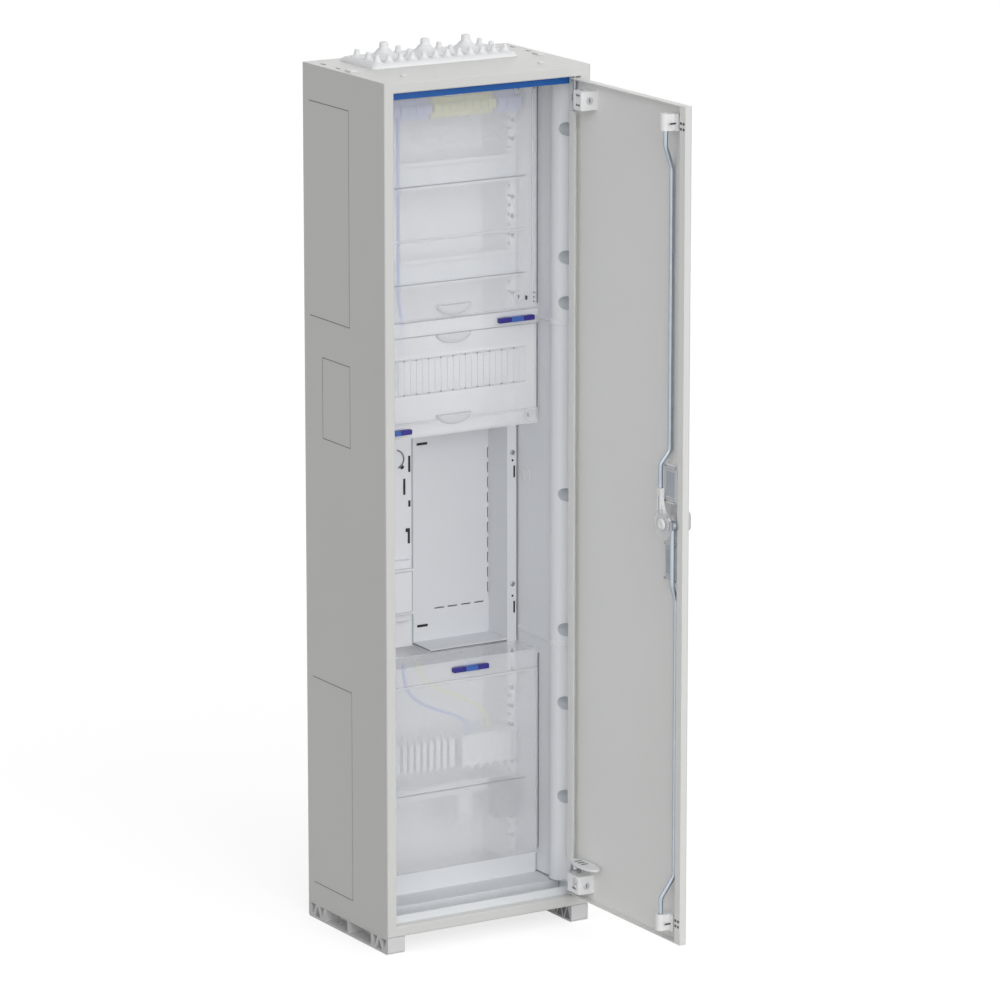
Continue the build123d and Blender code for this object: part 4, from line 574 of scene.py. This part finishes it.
# Margin beside a cover's right edge: cover, its front, the margin's X, its middle height and its length
for cover, front, margin_x, level, length in (("lower_cover", LOWER_FRONT, 122.5, 199.0, 240.0),
                                              ("upper_cover", COVER_FRONT, 117.5, 948.0, 286.0)):
    margin = block(1.2, length, corner=0.5, low=-0.2, high=0.5, ease=0.2)
    on_front(cover + "_margin", margin, [(margin_x, front, level)], dense_cover)
CLOSER_PLACES = ((97, COVER_FRONT, 815.0), (97, COVER_FRONT, 1084.0), (110, DEVICE_FOOT_FRONT, 660.0))
CATCH_PLACES = ((109, COVER_FRONT, 812.5), (109, COVER_FRONT, 1088.0))
PIP_X = 120.5
PIP_LEVELS = (806.5, 812.0, 818.0, 1082.0, 1088.0)
closer = turned(((7.2, -0.3), (7.2, 0.8), (6.4, 1.4), (5.2, 1.4), (4.8, 0.9), (1.0, 0.8)), sides=28)
smooth(on_front("cover_closers", closer, CLOSER_PLACES, dense_cover), crisp=40)
# The closer slits are grey painted shade
slit = block(1.3, 5.0, corner=0.5, low=0.4, high=1.5, ease=0.2)
on_front("closer_slits", slit, CLOSER_PLACES, grey_mark_and_shade)
catch = block(3.0, 5.2, corner=0.6, low=-0.3, high=0.9, ease=0.3)
on_front("cover_catches", catch, CATCH_PLACES, dark_parts_and_hole_shade)
pip = turned(((0.9, -0.3), (0.9, 0.4), (0.5, 0.7), (0.2, 0.7)), sides=10)
on_front("cover_pips", pip, [(PIP_X, COVER_FRONT, z) for z in PIP_LEVELS], dark_parts_and_hole_shade)

# Shaded joint between each cover's right edge and the liner
JOINT_END = 6.0
JOINT_INSET = 0.2
cover_fronts = {"upper_cover": COVER_FRONT, "device_cover": COVER_FRONT, "lower_cover": LOWER_FRONT}
for cover, front in cover_fronts.items():
    low, high = corners(cover)
    edge_joint = block(1.5, high.z - low.z - 2 * JOINT_END, corner=0.5, low=-0.6, high=0.2)
    on_front(cover + "_joint", edge_joint,
             [(high.x - JOINT_INSET, front, (low.z + high.z) / 2)], grey_mark_and_shade)

# Right post of the meter bay: a cross-recess screw 7 mm across, a dark dot and a slot near each end
POST_X = 119.0
POST_SLOT_X = 121.5
POST_FRONT = corners("upright_right")[0].y
POST_SCREW_LEVELS = (599, 424)
POST_DOT_LEVELS = (588.5, 408)
POST_SLOT_LEVELS = (573.5, 393)
screw = turned(((0.6, 0.3), (1.5, 0.4), (1.7, 1.5), (2.5, 1.6), (3.2, 1.2), (3.5, 0.6), (3.5, -0.6)),
               sides=24, recess=(0, 1, 2))
on_front("post_screws", screw, [(POST_X, POST_FRONT, z) for z in POST_SCREW_LEVELS],
         nickel_screw)
# The post's dots and slots are black painted shade of holes
dot = turned(((1.6, 0.15), (1.4, 0.3), (0.8, 0.35), (0.8, -0.4), (1.6, -0.4)), sides=14)
on_front("post_dots", dot, [(POST_X, POST_FRONT, z) for z in POST_DOT_LEVELS], hole_shade_black)
long_slot = skin([rounded_loop(width=2.6, length=16, corner=1.2, height=z) for z in (-0.4, 0.25)])
on_front("post_slots", long_slot, [(POST_SLOT_X, POST_FRONT, z) for z in POST_SLOT_LEVELS],
         hole_shade_black)

# Uprights: a fine row of fixing dots beside the large holes, behind the lower and the upper cover
DOT_X = 113.4
DOT_PITCH = 12.5
dot_rows = ((62.0, 19), (812.0, 20))
dot_levels = [start + DOT_PITCH * i for start, count in dot_rows for i in range(count)]
fine_dot = turned(((2.0, -0.3), (2.0, 0.2), (1.6, 0.4), (0.5, 0.4)), sides=12)
on_front("upright_dots", fine_dot,
         [(x, POST_FRONT, z) for x in (-DOT_X, DOT_X) for z in dot_levels], dark_parts_and_hole_shade)

# Meter plate: dark joints along its foot and black painted shade behind its two slots
plate_low, plate_high = corners("meter_plate")
FOOT_JOINT_DROP = 0.4
SIDE_JOINT = (-5.9, 58.8, 351.5)
PLATE_FACE = 82.0
PLATE_SLOT_X = 10.5
PLATE_SLOT_LEVELS = (372, 614)
joint_line = block(plate_high.x - plate_low.x, 1.4, corner=0.4, low=-0.2, high=0.3)
on_front("plate_foot_joint", joint_line,
         [((plate_low.x + plate_high.x) / 2, plate_low.y, plate_low.z - FOOT_JOINT_DROP)], grey_mark_and_shade)
joint_side = block(1.8, 47, corner=0.5, low=-0.6, high=0.3)
on_marks("plate_side_joint", "cabinet", joint_side, [SIDE_JOINT], grey_mark_and_shade)
plate_slot_shade = block(16.0, 3.4, corner=0.6, low=-0.8, high=0.1, ease=0.05)
on_front("plate_slot_seals", plate_slot_shade,
         [(PLATE_SLOT_X, PLATE_FACE, z) for z in PLATE_SLOT_LEVELS], hole_shade_black)

# Side panel of the meter bay: rim on its stepped box, painted shade inside the rim and on the return edge
panel_low, panel_high = corners("meter_side_panel")
PANEL_FACE = 73.5
BOX_MIDDLE = (-54, panel_low.y, 427)
RETURN_X = -9.3
RETURN_END = 1.0
box_rim = frame_of(74, 58, corner=3, wall=1.5, low=-0.3, high=0.8)
on_front("side_box_rim", box_rim, [BOX_MIDDLE], white_abs)
box_field = frame_of(70.6, 54.6, corner=2, wall=0.8, low=-0.3, high=0.2)
on_front("side_box_line", box_field, [BOX_MIDDLE], blue_grey_shade)
return_edge = block(2.4, panel_high.z - panel_low.z - 2 * RETURN_END, corner=0.5, low=-0.3, high=0.3)
on_front("side_return_edge", return_edge,
         [(RETURN_X, PANEL_FACE, (panel_low.z + panel_high.z) / 2)], blue_grey_shade)
# Black painted shade in the side panel's slots: each kind's length, and the X and height of its slots
side_slots = {"long": (21.4, ((-13.5, 592.0), (-21.0, 562.6))), "short": (8.4, ((-13.5, 539.6),)),
              "low": (20.4, ((-14.5, 497.0),)), "step": (5.0, ((-17.6, 504.7),))}
for kind, (length, places) in side_slots.items():
    slot_shade_block = block(3.4, length, corner=0.6, low=-0.8, high=0.15, ease=0.05)
    on_front("side_slot_seal_" + kind, slot_shade_block, [(x, PANEL_FACE, z) for x, z in places],
             hole_shade_black)
# Round hook of the meter cable beside the slots, and its eye in black painted shade
HOOK_MIDDLE = Vector((-34.0, 72.6, 600.0))
HOOK_RADIUS = 12.0
HOOK_WIRE = 0.9
HOOK_START = 80
HOOK_SWEEP = 150
HOOK_STEPS = 12
HOOK_SIDES = 10
EYE_PLACE = (-24.5, PANEL_FACE, 589.0)
hook_loops = []
for step in range(HOOK_STEPS + 1):
    angle = math.radians(HOOK_START - HOOK_SWEEP * step / HOOK_STEPS)
    ring = []
    for i in range(HOOK_SIDES):
        round_wire = 2 * math.pi * i / HOOK_SIDES
        reach = HOOK_RADIUS + HOOK_WIRE * math.cos(round_wire)
        ring.append((HOOK_MIDDLE.x + reach * math.cos(angle),
                     HOOK_MIDDLE.y + HOOK_WIRE * math.sin(round_wire),
                     HOOK_MIDDLE.z + reach * math.sin(angle)))
    hook_loops.append(ring)
smooth(piece("side_hook", "cabinet", skin(hook_loops), grey_mark_and_shade), crisp=60)
hook_eye = turned(((2.6, -0.3), (2.6, 1.0), (2.0, 1.6), (0.8, 1.6)), sides=18)
on_front("side_hook_eye", hook_eye, [EYE_PLACE], hole_shade_black)

# Liner: collars at the joints of its modules
LINER_X = 127.5
LINER_FRONT_X = 133.5
FRONT_WALL_END = -75.5
RIDGE_START = -70.5
RIDGE_END = -44.5
RIDGE_BULGE = 6.0
RIDGE_STEPS = 8
COLLAR_FRONT = (-85.5, -76.0)
COLLAR_REAR = 34.0
COLLAR_DROP = 1.0
SIDES = ((1, "right"), (-1, "left"))


def wall_x(y):
    """Inner face of the liner's side wall at that depth."""
    if y < FRONT_WALL_END:
        return LINER_FRONT_X
    if y < RIDGE_START:
        bend_share = (y - FRONT_WALL_END) / (RIDGE_START - FRONT_WALL_END)
        return LINER_FRONT_X + (LINER_X - LINER_FRONT_X) * bend_share
    across = (2 * y - RIDGE_START - RIDGE_END) / (RIDGE_END - RIDGE_START)
    return LINER_X - RIDGE_BULGE * max(0, 1 - across * across)


ridge_ys = [RIDGE_START + (RIDGE_END - RIDGE_START) * step / RIDGE_STEPS for step in range(RIDGE_STEPS + 1)]
collar_ys = (*COLLAR_FRONT, *ridge_ys, COLLAR_REAR)
# Section of a collar: how far it stands out of the wall, and its height
collar_section = ((-0.5, 0), (1.0, 0), (1.4, 0.6), (1.4, 6.0), (0.9, 7.0), (-0.5, 7.0))
module_low, module_high = corners("liner_middle")
for side, side_word in SIDES:
    for joint_level, joint_word in ((module_low.z, "lower"), (module_high.z, "upper")):
        collar_loops = [[(side * (wall_x(y) - out), y, joint_level - COLLAR_DROP + rise)
                         for out, rise in collar_section] for y in collar_ys]
        piece(f"liner_collar_{joint_word}_{side_word}", "cabinet",
              skin(collar_loops), liner_polystyrene)

# Finger notches: moulded cups that close them from behind
NOTCH_Y = FRONT_WALL_END
NOTCH_RADIUS = 9.1
CUP_FLOOR = 138.0
CUP_WALL = 0.8
CUP_STEPS = 28
CUP_ROUNDNESS = 3
# Rings of a cup from its floor to its rim, as shares of the notch's radius
cup_shares = (0.06, 0.25, 0.45, 0.65, 0.82, 0.93, 1.0)
# Heights of the notches as shares of their module's height
notch_shares = {"liner_lower": (0.362, 0.759), "liner_middle": (0.052, 0.474),
                "liner_upper": (0.085, 0.263, 0.761)}
for side, side_word in SIDES:
    for module, shares in notch_shares.items():
        low, high = (corner.z for corner in corners(module))
        for number, level_share in enumerate(shares):
            middle = low + level_share * (high - low)
            face, rear = [], []
            for cup_share in cup_shares:
                ring = []
                for step in range(CUP_STEPS):
                    angle = 2 * math.pi * step / CUP_STEPS
                    rim_x = wall_x(NOTCH_Y + NOTCH_RADIUS * math.cos(angle)) + CUP_WALL
                    x = CUP_FLOOR + (rim_x - CUP_FLOOR) * cup_share ** CUP_ROUNDNESS
                    ring.append((side * x, NOTCH_Y + cup_share * NOTCH_RADIUS * math.cos(angle),
                                 middle + cup_share * NOTCH_RADIUS * math.sin(angle)))
                face.append(ring)
                rear.append([(x + side * CUP_WALL, y, z) for x, y, z in ring])
            # Each cup is in the darker finish, which paints the shade of the hollow
            cup = piece(f"notch_cup_{module}_{number}_{side_word}", "cabinet",
                        skin(face + rear[::-1]), cup_shade_polystyrene)
            smooth(cup, crisp=60)

# Skirts that close the gap between the floor liner and the lower module, with a section of X and height
skirt_section = ((133.2, 30.6), (136.4, 30.6), (136.4, 51.0), (129.0, 51.0), (129.0, 49.8), (134.2, 49.2),
                 (134.8, 48.4), (134.8, 32.0), (133.2, 32.0))
SKIRT_YS = (-86.0, -84.5, 40.0)
for side, side_word in SIDES:
    piece("liner_skirt_" + side_word, "cabinet",
          skin([[(side * x, y, z) for x, z in skirt_section] for y in SKIRT_YS]), floor_shade_polystyrene)

# Liner walls: an embossed ring on each side, and plugs over the wall holes at the rear
EMBOSS_Y = 15.0
EMBOSS_LEVEL = 572.0
REAR_WALL = 97.5
WALL_HOLE_X = 100.0
WALL_HOLE_LEVELS = (92.0, 1022.0)
emboss = turned(((9.5, -0.3), (9.5, 0.3), (8.9, 0.9), (8.0, 0.9), (7.4, 0.3), (6.9, 0.25)), sides=36)
for (side, side_word), facing in zip(SIDES, (FACE_LEFT, FACE_RIGHT)):
    smooth(on_marks("liner_emboss_" + side_word, "cabinet", emboss,
                    [(side * LINER_X, EMBOSS_Y, EMBOSS_LEVEL)], liner_polystyrene, facing), crisp=40)
plug = turned(((8.8, -0.4), (8.8, 0.8), (8.2, 1.4), (5.0, 1.6), (4.6, 1.1), (1.0, 1.0)), sides=28)
smooth(on_front("wall_hole_plugs", plug,
                [(x, REAR_WALL, z) for x in (-WALL_HOLE_X, WALL_HOLE_X) for z in WALL_HOLE_LEVELS],
                liner_polystyrene), crisp=40)

# Wires behind the lower cover: each hangs in one soft curve between its ends
LEAD_RADIUS = 2.0


def lead(name, node, depth, route, finish):
    """A wire along the smooth line of a route of X and height, at one depth, in place of the CAD wire."""
    line = bpy.data.curves.new(name, "CURVE")
    line.dimensions = "3D"
    line.bevel_depth = LEAD_RADIUS * MM
    line.bevel_resolution = 3
    line.use_fill_caps = True
    spline = line.splines.new("NURBS")
    spline.points.add(len(route) - 1)
    for point, (x, z) in zip(spline.points, route):
        point.co = (*(Vector((x, depth, z)) * MM), 1.0)
    spline.order_u = 4
    spline.use_endpoint_u = True
    spline.resolution_u = 10
    host = bpy.data.objects.new(name + "_line", line)
    scene.collection.objects.link(host)
    data = bpy.data.meshes.new_from_object(host.evaluated_get(bpy.context.evaluated_depsgraph_get()))
    bpy.data.objects.remove(host)
    made = piece(name, "cabinet", data, finish)
    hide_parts(node)
    return smooth(made, crisp=60)


BLUE_DEPTH = 13.5
EARTH_DEPTH = 19.5
blue_route = ((-58, 345), (-59, 322), (-50, 300), (-18, 280), (18, 268), (38, 256), (40, 240))
earth_route = ((-34, 345), (-33, 326), (-12, 306), (28, 290), (62, 272), (72, 256), (72, 240))
lead("blue_lead", "blue_wire", BLUE_DEPTH, blue_route, blue_pvc)
lead("earth_lead", "earth_wire", EARTH_DEPTH, earth_route, earth_pvc)

# Knock-outs: the scored lines are mid grey as painted shade in their grooves
SCORE = 1.0
SCORE_LOW, SCORE_HIGH = -0.6, -0.2
TALL_MIDDLES = (937.5, 187.5)
TALL_HALF = 137.9
TALL_REAR_Y = 37.0
TALL_FRONT_Y = -12.9
SMALL_MIDDLE = (22.0, 697.0)
tall_levels = [middle + half for middle in TALL_MIDDLES for half in (-TALL_HALF, TALL_HALF)]
level_line = block(SCORE, 101.0, corner=0.3, low=SCORE_LOW, high=SCORE_HIGH)
upright_line = block(277.0, SCORE, corner=0.3, low=SCORE_LOW, high=SCORE_HIGH)
middle_line = frame_of(106.0, 71.0, corner=0.6, wall=SCORE, low=SCORE_LOW, high=SCORE_HIGH)
for side, side_word, facing in ((-1, "left", FACE_LEFT), (1, "right", FACE_RIGHT)):
    for kind, line_shape, places in (
            ("levels", level_line, [(TALL_REAR_Y, z) for z in tall_levels]),
            ("uprights", upright_line, [(TALL_FRONT_Y, z) for z in TALL_MIDDLES]),
            ("middle", middle_line, [SMALL_MIDDLE])):
        on_marks(f"score_{kind}_{side_word}", "cabinet", line_shape,
                 [(side * body_high.x, y, z) for y, z in places], score_shade_grey, facing)

# Lock: boxes with frames and the painted shade of their trays, hub sleeve and the web of the fork clip
guide_low, guide_high = corners("rod_guide_upper")
flange_low, flange_high = corners("lock_escutcheon")
DOOR_INNER = guide_high.x
LOCK_Y = (flange_low.y + flange_high.y) / 2
LOCK_Z = (flange_low.z + flange_high.z) / 2
BOX_SHIFT = 49.7
BOX_FACE = 125.5
BOX_RIM = 125.2
BOX_RIB_SHIFT = 17
BOX_SCREW_Y, BOX_SCREW_SHIFT = 11.7, 22.4
SLEEVE_X = 122.9
CAP_X = corners("lock_cam")[0].x
box_levels = (LOCK_Z + BOX_SHIFT, LOCK_Z - BOX_SHIFT)
box_frame = frame_of(49.0, 28.0, corner=2.5, wall=1.7, low=0, high=8.8)
on_door("lock_box_frames", box_frame, [(DOOR_INNER, LOCK_Y, z) for z in box_levels],
        white_polyamide)
tray_shade = block(39.0, 18.5, corner=1.5, low=-0.2, high=0.5, ease=0.25)
on_door("lock_box_inlays", tray_shade, [(BOX_FACE, LOCK_Y, z) for z in box_levels], blue_grey_shade)
box_rib = block(1.6, 20.5, corner=0.5, low=0.2, high=1.3, ease=0.4)
on_door("lock_box_ribs", box_rib,
        [(BOX_FACE, LOCK_Y, z + shift) for z in box_levels for shift in (-BOX_RIB_SHIFT, BOX_RIB_SHIFT)],
        lock_polyamide)
small_screw = turned(((0.4, 0.3), (0.8, 0.35), (0.9, 0.9), (1.4, 0.9), (1.9, 0.5), (1.9, -0.5)),
                     sides=16, recess=(0, 1, 2))
on_door("lock_box_screws", small_screw,
        [(BOX_RIM, LOCK_Y + across, z + shift) for z in box_levels for across in (-BOX_SCREW_Y, BOX_SCREW_Y)
         for shift in (-BOX_SCREW_SHIFT, BOX_SCREW_SHIFT)], nickel_screw)
sleeve = turned(((7.2, 0), (7.2, 6.6), (8.6, 6.8), (11.5, 7.0), (11.5, 7.25), (6.0, 7.25)), sides=36)
smooth(on_marks("cam_sleeve", "handle", sleeve, [(SLEEVE_X, LOCK_Y, LOCK_Z)],
                white_polyamide, FACE_LEFT), crisp=40)
cap = turned(((7.6, -0.2), (7.6, 1.2), (6.8, 2.0), (4.4, 2.4), (3.6, 1.8), (0.8, 1.7)), sides=30)
smooth(on_marks("cam_cap", "handle", cap, [(CAP_X, LOCK_Y, LOCK_Z)], white_polyamide,
                FACE_LEFT), crisp=40)
# The web's outline as Y and height, its middle, and the share of the outline at each X
web_line = ((-321.3, 617.0), (-324.0, 603.0), (-329.0, 592.0), (-326.5, 587.5), (-322.3, 590.0),
            (-321.3, 597.0))
web_y, web_z = -324.0, 599.0
web_shares = ((0.9, 121.6), (1.0, 121.2), (1.0, 118.0), (0.9, 117.4))
web_loops = [[(x, web_y + share * (y - web_y), web_z + share * (z - web_z)) for y, z in web_line]
             for share, x in web_shares]
piece("clip_web", "upper_rod", skin(web_loops), white_polyamide)

# Door lips: four holes beside each rod guide and a groove in the guide, near black as painted shade
LIP_X = corners("door_panel")[0].x
LIP_YS = (-351.3, -357.4)
LIP_LEVELS = (1077.5, 1084.5, 61.5, 68.5)
GROOVE_X = 117.0
GROOVE_LEVELS = (1084.0, 63.5)
hole = block(3.4, 4.4, corner=1.5, low=-0.3, high=0.2)
on_door("lip_holes", hole, [(LIP_X, y, z) for y in LIP_YS for z in LIP_LEVELS], dark_parts_and_hole_shade)
groove = block(9.0, 2.2, corner=0.8, low=-0.3, high=0.2)
on_door("guide_grooves", groove, [(GROOVE_X, guide_low.y, z) for z in GROOVE_LEVELS],
        dark_parts_and_hole_shade, FACE_FRONT)

# Hinge blocks: slots and a ring screw towards the opening, ring screws with slits towards the front
upper_block_low = corners("hinge_block_upper")[0]
lower_block_low, lower_block_high = corners("hinge_block_lower")
HINGE_FACE = upper_block_low.x
HINGE_SLOTS = ((-134.0, 1090.0), (-134.0, 1077.5), (-130.0, 56.0))
RING_X = 123.0
RING_FRONTS = ((upper_block_low.y, 1083.5), (lower_block_low.y, 60.0))
RING_SIDE = (HINGE_FACE, -133.0, 66.0)
SLIT_RECESS = 0.4
# The hinge slots and screw slits are grey painted shade
hinge_slot = block(2.4, 9.0, corner=0.9, low=-0.3, high=0.25)
on_door("hinge_slots", hinge_slot, [(HINGE_FACE, y, z) for y, z in HINGE_SLOTS], grey_mark_and_shade)
ring_screw = turned(((5.0, -0.3), (5.0, 0.6), (4.5, 1.0), (3.2, 1.0), (2.9, 0.3), (1.2, 0.2)), sides=28)
smooth(on_door("hinge_ring_screws_front", ring_screw,
               [(RING_X, y, z) for y, z in RING_FRONTS], lock_polyamide, FACE_FRONT), crisp=40)
on_door("hinge_screw_slits", slit, [(RING_X, y + SLIT_RECESS, z) for y, z in RING_FRONTS],
        grey_mark_and_shade, FACE_FRONT)
smooth(on_door("hinge_ring_screws_side", ring_screw, [RING_SIDE], lock_polyamide), crisp=40)

# Release lever: grey painted shade in its three slots, and a zinc collar round its pin on the hinge block
lever_low, lever_high = corners("release_lever")
LEVER_X = (lever_low.x + lever_high.x) / 2
LEVER_SLOT_YS = (-124.0, -132.0, -140.0)
PIN_Y = -117.0
lever_slot_shade = block(10.0, 4.0, corner=0.5, low=-2.6, high=0.15)
on_marks("lever_slot_floors", "release", lever_slot_shade,
         [(LEVER_X, y, lever_high.z) for y in LEVER_SLOT_YS], grey_mark_and_shade)
collar = turned(((7.4, -0.3), (7.4, 2.6), (6.6, 3.4), (4.6, 3.4)), sides=26)
smooth(on_marks("pin_collar", "door", collar, [(LEVER_X, PIN_Y, lower_block_high.z)],
                cast_zinc), crisp=40)

# Right foot: painted shade of the pockets between its inner side's zigzag ribs, and of two long ones between
# its ends
FOOT_INNER = corners("foot_right")[0].x
POCKET_SUNK = 0.4
POCKET_PROUD = 0.15
POCKET_LOW = 3.0
POCKET_HIGH = 19.0
POCKET_HALF = 6.5
POCKET_PITCH = 9.5
ZIGZAG_STARTS = (-92.5, 64.0)
ZIGZAG_COUNT = 4
LONG_POCKETS = ((-52.0, -3.0), (3.0, 52.0))
pocket_outlines = []
for zigzag_start in ZIGZAG_STARTS:
    for number in range(ZIGZAG_COUNT):
        middle = zigzag_start + POCKET_PITCH * number
        wide_z, tip_z = (POCKET_LOW, POCKET_HIGH) if number % 2 == 0 else (POCKET_HIGH, POCKET_LOW)
        start, end = middle - POCKET_HALF, middle + POCKET_HALF
        pocket_outlines.append([(start, wide_z), (end, wide_z), (middle, tip_z)])
for start, end in LONG_POCKETS:
    pocket_outlines.append([(start, POCKET_LOW), (end, POCKET_LOW),
                            (end, POCKET_HIGH), (start, POCKET_HIGH)])
pocket_points, pocket_faces = [], []
for outline in pocket_outlines:
    first, count = len(pocket_points), len(outline)
    pocket_points += [(x, y, z) for x in (FOOT_INNER + POCKET_SUNK, FOOT_INNER - POCKET_PROUD)
                      for y, z in outline]
    pocket_faces += [tuple(range(first, first + count)), tuple(range(first + count, first + 2 * count))]
    for i in range(count):
        j = (i + 1) % count
        pocket_faces.append((first + i, first + j, first + count + j, first + count + i))
piece("foot_inner_pockets", "cabinet", mesh_of(pocket_points, pocket_faces), grey_mark_and_shade)

# Back: blind rivets along both edges of the rear sheet
BACK_Y = corners("back_panel")[1].y
RIVET_X = 130.0
RIVET_COUNT = 10
RIVET_PITCH = 112.0
RIVET_MIDDLE = 564.0
rivet = turned(((1.1, 0.5), (1.3, 0.9), (2.4, 1.1), (3.2, 0.8), (3.4, 0.2), (3.4, -0.4)), sides=20)
rivet_levels = even_row(RIVET_COUNT, RIVET_PITCH, RIVET_MIDDLE)
rivet_places = [(x, BACK_Y, z) for x in (-RIVET_X, RIVET_X) for z in rivet_levels]
smooth(on_marks("back_rivets", "cabinet", rivet, rivet_places, nickel_screw, FACE_BACK),
       crisp=40)

# Floor: a white sweep that keeps the shadow
FLOOR_HALF = 30000.0
FLOOR_GLOW = 0.72
floor_data = bpy.data.meshes.new("floor")
floor_data.from_pydata(
    [Vector((x * FLOOR_HALF, y * FLOOR_HALF, 0)) * MM for x, y in ((-1, -1), (1, -1), (1, 1), (-1, 1))],
    [], [(0, 1, 2, 3)])
floor = bpy.data.objects.new("floor", floor_data)
scene.collection.objects.link(floor)


def seen_directly(tree):
    """1 for rays from the camera and for those that mirrors and clear plastic send on."""
    path = add(tree, "ShaderNodeLightPath").outputs
    first = add(tree, "ShaderNodeMath", {"operation": "MAXIMUM"},
                {0: path["Is Camera Ray"], 1: path["Is Glossy Ray"]})
    return add(tree, "ShaderNodeMath", {"operation": "MAXIMUM"},
               {0: first.outputs[0], 1: path["Is Transmission Ray"]}).outputs[0]


floor_paint = bpy.data.materials.new("white_studio_sweep")
floor_paint.use_nodes = True
tree = floor_paint.node_tree
tree.nodes.clear()
matt = add(tree, "ShaderNodeBsdfDiffuse", {"Color": linear("#bcbcbc")})
share = add(tree, "ShaderNodeMath", {"operation": "MULTIPLY", 1: FLOOR_GLOW}, {0: seen_directly(tree)})
glow = add(tree, "ShaderNodeEmission", {"Color": WHITE}, {"Strength": share.outputs[0]})
both = add(tree, "ShaderNodeAddShader", links={0: matt.outputs[0], 1: glow.outputs[0]})
add(tree, "ShaderNodeOutputMaterial", links={"Surface": both.outputs[0]})
floor_data.materials.append(floor_paint)

# World: white to the eye, with a soft light that is stronger from the front than from the rear
FRONT_SKY = 0.74
REAR_SKY = 0.16
world = bpy.data.worlds.new("studio")
world.use_nodes = True
scene.world = world
tree = world.node_tree
tree.nodes.clear()
towards = add(tree, "ShaderNodeSeparateXYZ", links={0: add(tree, "ShaderNodeTexCoord").outputs["Generated"]})
fill = add(tree, "ShaderNodeMapRange",
           {"From Min": -1.0, "From Max": 1.0, "To Min": FRONT_SKY, "To Max": REAR_SKY},
           {"Value": towards.outputs["Y"]})
level = add(tree, "ShaderNodeMix", {"B": 1.0}, {"Factor": seen_directly(tree), "A": fill.outputs["Result"]})
sky = add(tree, "ShaderNodeBackground", {"Color": WHITE}, {"Strength": level.outputs[0]})
add(tree, "ShaderNodeOutputWorld", links={"Surface": sky.outputs[0]})

# Lamps: two softboxes for everything, and two fills for the door and the inside.
# Only the door and the pieces inside cast shadows in the fills.
outer_pieces = ("body_wrap", "back_panel", "foot_left", "foot_right", "cable_entry", "top_plugs",
                "entry_plate", "small_nozzles", "large_nozzles", "back_rivets", "foot_inner_pockets")
door_front = ("door_panel", "lock_escutcheon", "turn_handle")
lit_inside = bpy.data.collections.new("door_and_inside")
behind_door = bpy.data.collections.new("inside_only")
for thing in scene.objects:
    outside = thing == floor or thing.name in outer_pieces or thing.name.startswith("score_")
    if thing.type == "MESH" and not outside:
        lit_inside.objects.link(thing)
        if thing.name not in door_front:
            behind_door.objects.link(thing)
# Each lamp's strength, spread in degrees, direction and the pieces that it lights
for name, strength, spread, direction, receivers in (
        ("front_softbox", 1.04, 50, (0.06, 0.93, -0.33), None),
        ("rear_softbox", 0.5, 70, (-0.5, -0.85, -0.16), None),
        ("door_fill", 0.86, 80, (0.84, 0.5, -0.18), lit_inside),
        ("inside_fill", 0.5, 60, (0.2, 0.92, 0.3), behind_door)):
    lamp_data = bpy.data.lights.new(name, "SUN")
    lamp_data.energy = strength
    lamp_data.angle = math.radians(spread)
    lamp = bpy.data.objects.new(name, lamp_data)
    lamp.rotation_mode = "QUATERNION"
    lamp.rotation_quaternion = Vector(direction).to_track_quat("-Z", "Y")
    scene.collection.objects.link(lamp)
    if receivers:
        lamp.light_linking.receiver_collection = receivers
        lamp.light_linking.blocker_collection = lit_inside

# Camera at the photograph's viewing angle, fitted to the cabinet's edges; its range is in metres
YAW = math.radians(31.141)
PITCH = math.radians(13.163)
FOCAL_LENGTH = 215.0
SENSOR_WIDTH = 36.0
CAMERA_RANGE = 100.0
CAMERA_PLACE = Vector((-3789.8, -6402.4, 2297.2))
lens = bpy.data.cameras.new("camera")
lens.lens = FOCAL_LENGTH
lens.sensor_width = SENSOR_WIDTH
lens.clip_end = CAMERA_RANGE
camera = bpy.data.objects.new("camera", lens)
camera.location = CAMERA_PLACE * MM
camera.rotation_mode = "QUATERNION"
looking = Vector((math.sin(YAW) * math.cos(PITCH), math.cos(YAW) * math.cos(PITCH), -math.sin(PITCH)))
camera.rotation_quaternion = looking.to_track_quat("-Z", "Y")
scene.collection.objects.link(camera)
scene.camera = camera
scene.view_settings.view_transform = "Standard"
